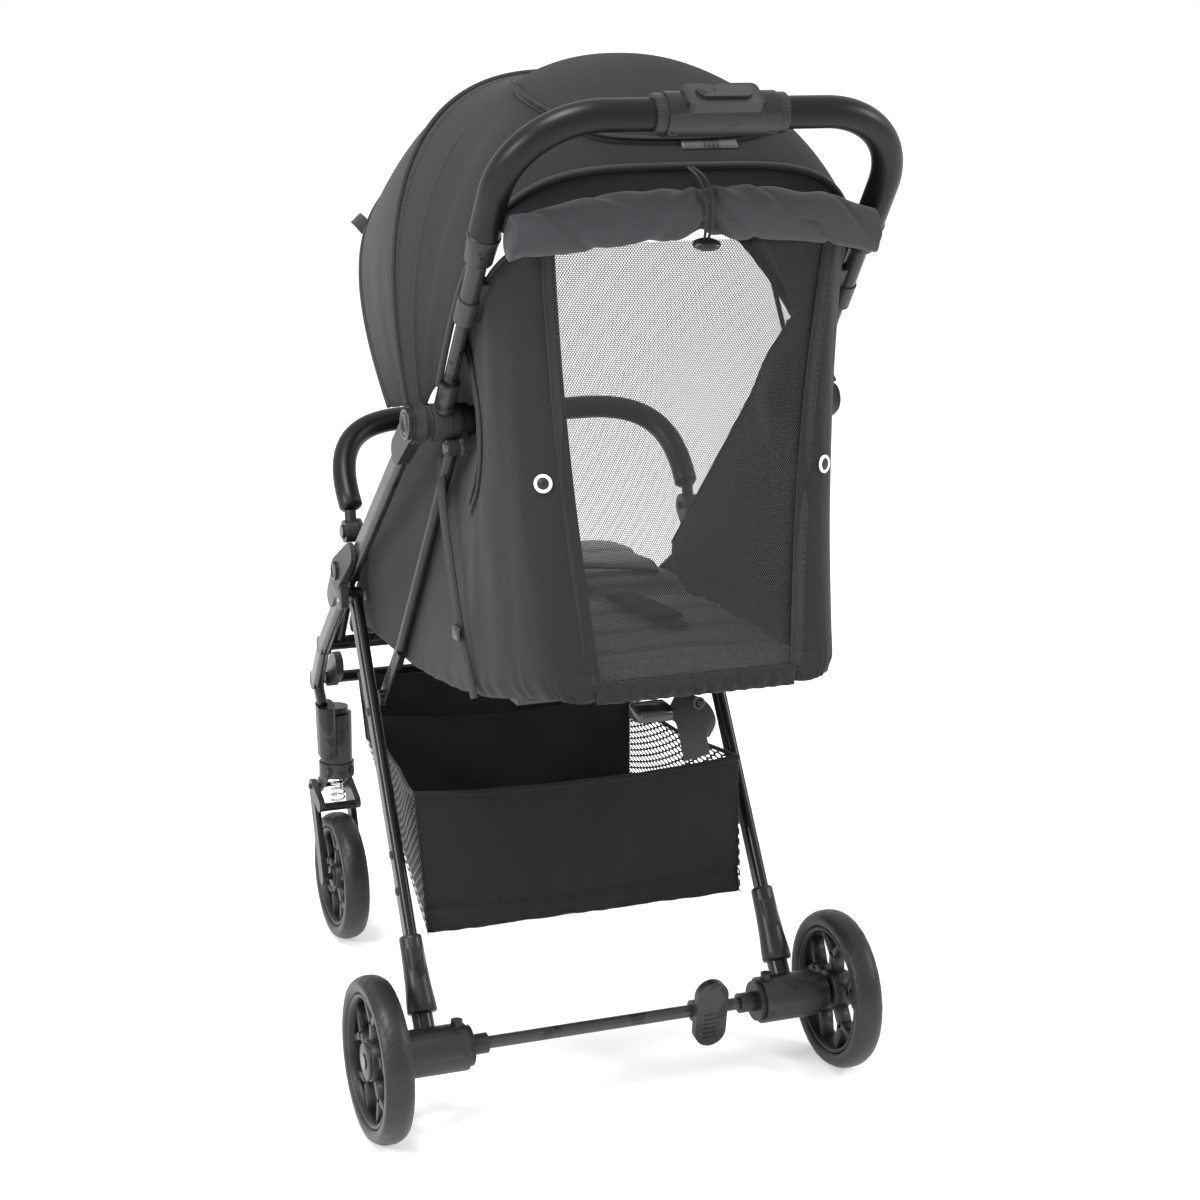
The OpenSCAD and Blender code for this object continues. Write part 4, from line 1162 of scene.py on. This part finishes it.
def make_hood_details():
    """Curved zip over a vent in the rear cloth, a grey pull tab and a small side label."""
    half = [(97, 101), (90, 110), (82, 114), (75.5, 108), (69.5, 93), (66.6, 72), (65.6, 45), (65.3, 0)]
    line = [hood_spot(a, x, 0.6) for a, x in half] + [hood_spot(a, -x, 0.6) for a, x in reversed(half[:-1])]
    line = smooth_path(line, 160)
    welt = rounded_tube("vent_zip", line, 1.7 * MM, BINDING, 10, (0, 1, 0))
    lip = strap("vent_zip_flap", line + np.array([0, 0.0006, 0.0042]), 0.008, 0.0011, (0, 0.6, 0.8),
                FINISH["canopy_dark_fabric"])
    for piece in (welt, lip):
        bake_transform(piece)
        finish_piece(piece, None)
    tab_angle, rib_reach = 64.8, 1.2
    tab_line = [hood_spot(tab_angle, x, 1.6) for x in np.linspace(0, -54, 20)]
    tab = strap("vent_pull_tab", tab_line, 0.0125, 0.002, (0, 0.75, 0.6), GREY_TAB)
    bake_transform(tab)
    finish_piece(tab, None)
    for k in range(4):
        x = -22 - 4 * k
        rib = [hood_spot(tab_angle + q, x, 2.8) for q in (-rib_reach, rib_reach)]
        bar = strap(f"vent_tab_rib_{k}", rib, 0.0018, 0.0008, (0, 0.75, 0.6), FINISH["rim_plastic"])
        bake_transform(bar)
        finish_piece(bar, None)
    base = hood_point(BRIM, 38)
    label_path = [base, base + Vector((4, -10, 7)) * MM, base + Vector((6, -19, 10)) * MM]
    label = strap("hood_label_left", label_path, 0.014, 0.0012, (0.6, 0, 0.7), BINDING)
    finish_piece(label, "visor")


make_hood_details()


# ------------------------------------------------------------- seat and straps
def stuffed(name, half, y0, y1, z0, z1, channels, material):
    """A sewn pad: crowned between its seams, drawn in at its edges and channels."""
    rows, cols = 60, 60
    thick = z1 - z0
    top, bottom = [], []
    for i in range(rows):
        v = i / (rows - 1)
        for j in range(cols):
            u = 2 * j / (cols - 1) - 1
            fu, fv = abs(u), abs(2 * v - 1)
            edge = (1 - fu**6) ** 0.35 * (1 - fv**8) ** 0.35
            dip = sum(math.exp(-((v - c) / 0.022) ** 2) for c in channels)
            quilt = 0.8 * math.exp(-((fu - 0.62) / 0.03) ** 2)
            soft = 1.2 * pucker((u * 3, v * 4), 1.2, y0)
            high = thick * (0.25 + 0.75 * edge) - 4.5 * dip * edge - 3 * quilt * edge + soft * edge
            x = half * u
            pull = 3.0 * math.sin(v * 21) * (fu**8)
            y = y0 + (y1 - y0) * v
            top.append(tuple(at(x - pull * math.copysign(1, u), y, z0 + high)))
            bottom.append(tuple(at(x - pull * math.copysign(1, u), y, z0 + 0.3 * thick * (1 - edge))))
    points = top + bottom
    faces, border = sheet_faces(rows, cols)
    uv = [(p[0] + 1, p[1] + 1) for p in points]
    piece = new_piece(name, points, faces, material, uv)
    weld(piece)
    outline = [Vector(points[k]) for k in border] + [Vector(points[border[0]])]
    outline = [p - Vector((0, 0, 0.001)) for p in outline]
    return piece, rounded_tube(name + "_piping", outline, 2.0 * MM, BINDING, 8, (0, 0, 1))


def crease_spot(f, t):
    """A point of the cloth that sinks into the crease between the cushions."""
    return at(150 * f, -190 + 62 * t, SEAT_TOP + 9 - 8 * math.sin(math.pi * t))


def make_seat():
    """Seat and backrest cushions, and the cloth that bridges the crease between them."""
    parts = [
        ("seat_cushion", 155, -390, -182, SEAT_TOP, SEAT_TOP + 22, (0.33, 0.67), "frame", ["seat_pad"]),
        ("backrest_cushion", 148, -137, 145, SEAT_TOP - 1, SEAT_TOP + 19, (0.25, 0.5, 0.75),
         "backrest", ["backrest_pad"]),
    ]
    for name, half, y0, y1, z0, z1, channels, body, nodes in parts:
        pad, cord = stuffed(name, half, y0, y1, z0, z1, channels, FINISH["pad_fabric"])
        finish_piece(pad, body, nodes)
        finish_piece(cord, body)
    bridge = sheet_grid(16, 50, crease_spot)
    crease = cloth_piece("seat_crease_cloth", bridge, FINISH["pad_fabric"], 0.002)
    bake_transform(crease)
    finish_piece(crease, None)
    declare_sheet(bridge)


def make_harness():
    """Shoulder, lap and crotch straps with their padded covers."""
    for word, side in SIDES.items():
        up = (0, 0, 1)
        shoulder = smooth_path([at(side * 58, 20, SEAT_TOP + 22), at(side * 52, -30, SEAT_TOP + 24),
                                at(side * 42, -85, SEAT_TOP + 25), at(side * 36, -128, SEAT_TOP + 25)], 40)
        belt = strap(f"shoulder_strap_{word}", shoulder, 0.022, 0.0018, up, FINISH["webbing"])
        finish_piece(belt, "backrest")
        cover_path = shoulder[6:30] + np.array([0, 0, 0.0028])
        ring = np.array([(-17, -2), (-16, 2.2), (-8, 3.6), (0, 4.0),
                         (8, 3.6), (16, 2.2), (17, -2), (0, -2.4)]) * MM
        cover = ring_mesh(f"shoulder_pad_{word}", tube_points(cover_path, np.repeat(ring[None], 24, 0), up),
                          FINISH["basket_fabric"])
        finish_piece(cover, "backrest")
        lap = smooth_path([at(side * 128, -206, SEAT_TOP + 23), at(side * 90, -216, SEAT_TOP + 27),
                           at(side * 50, -216, SEAT_TOP + 31), at(side * 20, -214, SEAT_TOP + 32)], 30)
        belt = strap(f"lap_strap_{word}", lap, 0.022, 0.0018, up, FINISH["webbing"])
        finish_piece(belt, "frame")
    crotch = smooth_path([at(0, -330, SEAT_TOP + 22), at(0, -300, SEAT_TOP + 26),
                          at(0, -262, SEAT_TOP + 31), at(0, -238, SEAT_TOP + 32)], 30)
    belt = strap("crotch_strap", crotch, 0.028, 0.002, (0, 0, 1), FINISH["webbing"])
    finish_piece(belt, "frame", ["harness_straps"])


make_seat()
make_harness()


# ---------------------------------------------------------- straps and screws
def make_side_straps():
    """Webbing that sets the recline, from each hinge down the cloth to the seat's foot."""
    for word, side in SIDES.items():
        path = smooth_path([at(side * 184, 2, 694), at(side * 187, 15, 650), at(side * 186, 31, 604),
                            at(side * 184, 46, 558), at(side * 181, 58, 520), at(side * 176, 74, 474)], 60)
        belt = strap(f"recline_strap_{word}", path, 0.012, 0.0014, (side, 0.3, 0), FINISH["webbing"])
        span_cabin(belt)
        spot = at(side * 186, 54, 534)
        outline = [(-9, -5), (-6, -7), (6, -7), (9, -5), (9, 5), (6, 7), (-6, 7), (-9, 5)]
        slide = plate(f"recline_slide_{word}", outline, spot, -1.5, 2.5, 0.8, FINISH["satin_plastic"])
        finish_piece(slide, "frame")


def make_fasteners():
    """Rivets down the rear legs, hinge covers with their ring grooves, and knuckle badges."""
    for word, side in SIDES.items():
        out = (side, 0, 0)
        rivet = [(-0.4, 4.6), (0.6, 4.6), (1.5, 3.8), (2.0, 2.2), (2.2, 0.2)]
        knuckle, foot = (194.8, -267, 492), (198, -62, 166)
        for k, t in enumerate((0.33, 0.73, 0.83)):
            x, y, z = between(knuckle, foot, t)
            piece = turned(f"leg_rivet_{word}_{k}", rivet, at(side * (x + 6), y, z), out,
                           FINISH["satin_plastic"], 20)
            finish_piece(piece, "rear_legs")
        sleeve = [(-40, 9.5), (-39, 11.2), (-36, 11.8), (-12, 12.2),
                  (12, 13.4), (30, 15.2), (38, 15.6), (40, 14.6)]
        along = (side * (foot[0] - knuckle[0]), foot[1] - knuckle[1], foot[2] - knuckle[2])
        piece = turned(f"leg_sleeve_{word}", sleeve, at(side * 198.3, -50.7, 148), along,
                       FINISH["satin_plastic"], 36)
        finish_piece(piece, "rear_legs")
        cap = [(0, 15), (1.2, 14.6), (1.4, 12.6), (0.6, 12.0), (0.6, 10.4),
               (1.6, 9.8), (1.8, 8.2), (0.8, 7.6), (0.7, 0.3)]
        cap_face = 222.3
        piece = turned(f"hinge_cover_{word}", cap, at(side * cap_face, *HINGE), out,
                       FINISH["gloss_plastic"], 48)
        finish_piece(piece, "frame")
        badge = [(0, 10), (0.9, 9.6), (1.1, 7.6), (0.4, 7.0), (0.3, 0.3)]
        piece = turned(f"knuckle_badge_{word}", badge, at(side * 218, -266, 523), out,
                       FINISH["gloss_plastic"], 36)
        finish_piece(piece, "frame")


def make_pedal():
    """Grip ribs pressed into the brake pedal's face."""
    low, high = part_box("brake_pedal")
    lean = math.radians(-8)
    middle = (low.x + high.x) / 2
    face, rib_half = 15.6, 8
    for k in range(6):
        z = -28 + 5.4 * k
        y = face - math.sin(lean) * z
        rib = [Vector((middle + x * MM, AXLE_Y + y * MM, AXLE_Z + z * MM)) for x in (-rib_half, rib_half)]
        piece = rounded_tube(f"pedal_rib_{k}", rib, 1.1 * MM, FINISH["rim_plastic"], 10, (0, 0, 1))
        finish_piece(piece, "brake_pedal")


make_side_straps()
make_fasteners()
make_pedal()


def make_underside():
    """Adjusting strap and its buckle that hang under the backrest."""
    buckle_at = at(36, 172, 474)
    body = [(-15, -6), (-11, -8), (6, -8), (9, -5), (16, -5), (16, 5), (9, 5), (6, 8), (-11, 8), (-15, 6)]
    piece = plate("under_buckle", body, buckle_at, -17, 17, 2, FINISH["gloss_plastic"])
    finish_piece(piece, "backrest")
    hanging = smooth_path([at(16, 170, 479), at(4, 176, 472), at(-2, 178, 458), at(-6, 176, 442),
                           at(-12, 170, 424)], 40)
    belt = strap("under_strap", hanging, 0.026, 0.0018, (0, 1, 0), FINISH["webbing"])
    finish_piece(belt, "backrest")
    fold = smooth_path([at(8, 166, 480), at(-12, 170, 472), at(-22, 168, 456), at(-20, 160, 440)], 30)
    tail = strap("under_strap_tail", fold, 0.02, 0.0018, (0, 1, 0), FINISH["webbing"])
    finish_piece(tail, "backrest")
    ring = turned("hem_ring", [(-1, 4.2), (-0.6, 6.0), (0.6, 6.0), (1, 4.2), (0, 3.8), (-0.9, 4.1)],
                  at(0, 199.5, 487), (0, 1, 0), FINISH["gloss_plastic"], 30)
    finish_piece(ring, "frame")


make_underside()


# --------------------------------------------------------------- CAD in paint
def paint_cad_nodes():
    """Gives each CAD node that stays the finish of its own material slot."""
    slots = {s["node"]: s["material_slot"] for s in frame["record"]["subparts"]}
    for name, node in frame["nodes"].items():
        node.data.materials.clear()
        node.data.materials.append(FINISH[slots[name]])
        for polygon in node.data.polygons:
            polygon.material_index = 0


paint_cad_nodes()


# --------------------------------------------------------------- studio stage
def make_stage():
    """White floor and air, and three soft lights."""
    reach = 60.0
    points = [(-reach, -reach, 0), (reach, -reach, 0), (reach, reach, 0), (-reach, reach, 0)]
    ground = new_piece("studio_floor", points, [(0, 1, 2, 3)], bpy.data.materials.new("studio_white"))
    white = ground.data.materials[0]
    white.use_nodes = True
    shader = white.node_tree.nodes["Principled BSDF"]
    shader.inputs["Base Color"].default_value = (0.9, 0.9, 0.9, 1)
    shader.inputs["Roughness"].default_value = 1.0
    shader.inputs["Specular IOR Level"].default_value = 0.0
    shader.inputs["Emission Color"].default_value = (1, 1, 1, 1)
    shader.inputs["Emission Strength"].default_value = 0.3
    world = bpy.data.worlds.new("studio_air")
    bpy.context.scene.world = world
    world.use_nodes = True
    world.node_tree.nodes["Background"].inputs[0].default_value = (1, 1, 1, 1)
    world.node_tree.nodes["Background"].inputs[1].default_value = 1.0
    for name, place, size, power in (
        ("top_light", (0.9, 0.9, 3.2), 1.1, 85),
        ("left_light", (2.8, 1.0, 1.7), 0.8, 55),
        ("right_light", (-2.6, 1.2, 1.9), 0.7, 30),
    ):
        data = bpy.data.lights.new(name, "AREA")
        data.energy = power
        data.shape = "DISK"
        data.size = size
        light = bpy.data.objects.new(name, data)
        bpy.context.collection.objects.link(light)
        light.location = place
        aim = Vector((0, 0, 0.55)) - Vector(place)
        light.rotation_euler = aim.to_track_quat("-Z", "Y").to_euler()


def make_camera():
    """Camera behind the stroller, to the pusher's left and above the handle."""
    azimuth, height, roll = math.radians(158.46), math.radians(14.45), math.radians(0.45)
    back = Vector((math.sin(azimuth) * math.cos(height), -math.cos(azimuth) * math.cos(height),
                   math.sin(height)))
    right = (-back).cross(Vector((0, 0, 1))).normalized()
    up = right.cross(-back)
    turned_right = right * math.cos(roll) + up * math.sin(roll)
    turned_up = up * math.cos(roll) - right * math.sin(roll)
    data = bpy.data.cameras.new("view")
    data.lens = 74.45
    data.sensor_width = 36
    camera = bpy.data.objects.new("view", data)
    bpy.context.collection.objects.link(camera)
    place = at(890.6, 2205.1, 1149.3)
    camera.matrix_world = Matrix.Translation(place) @ Matrix(
        (turned_right, turned_up, back)).transposed().to_4x4()
    bpy.context.scene.camera = camera


make_stage()
make_camera()
bpy.context.scene.view_settings.view_transform = "Standard"
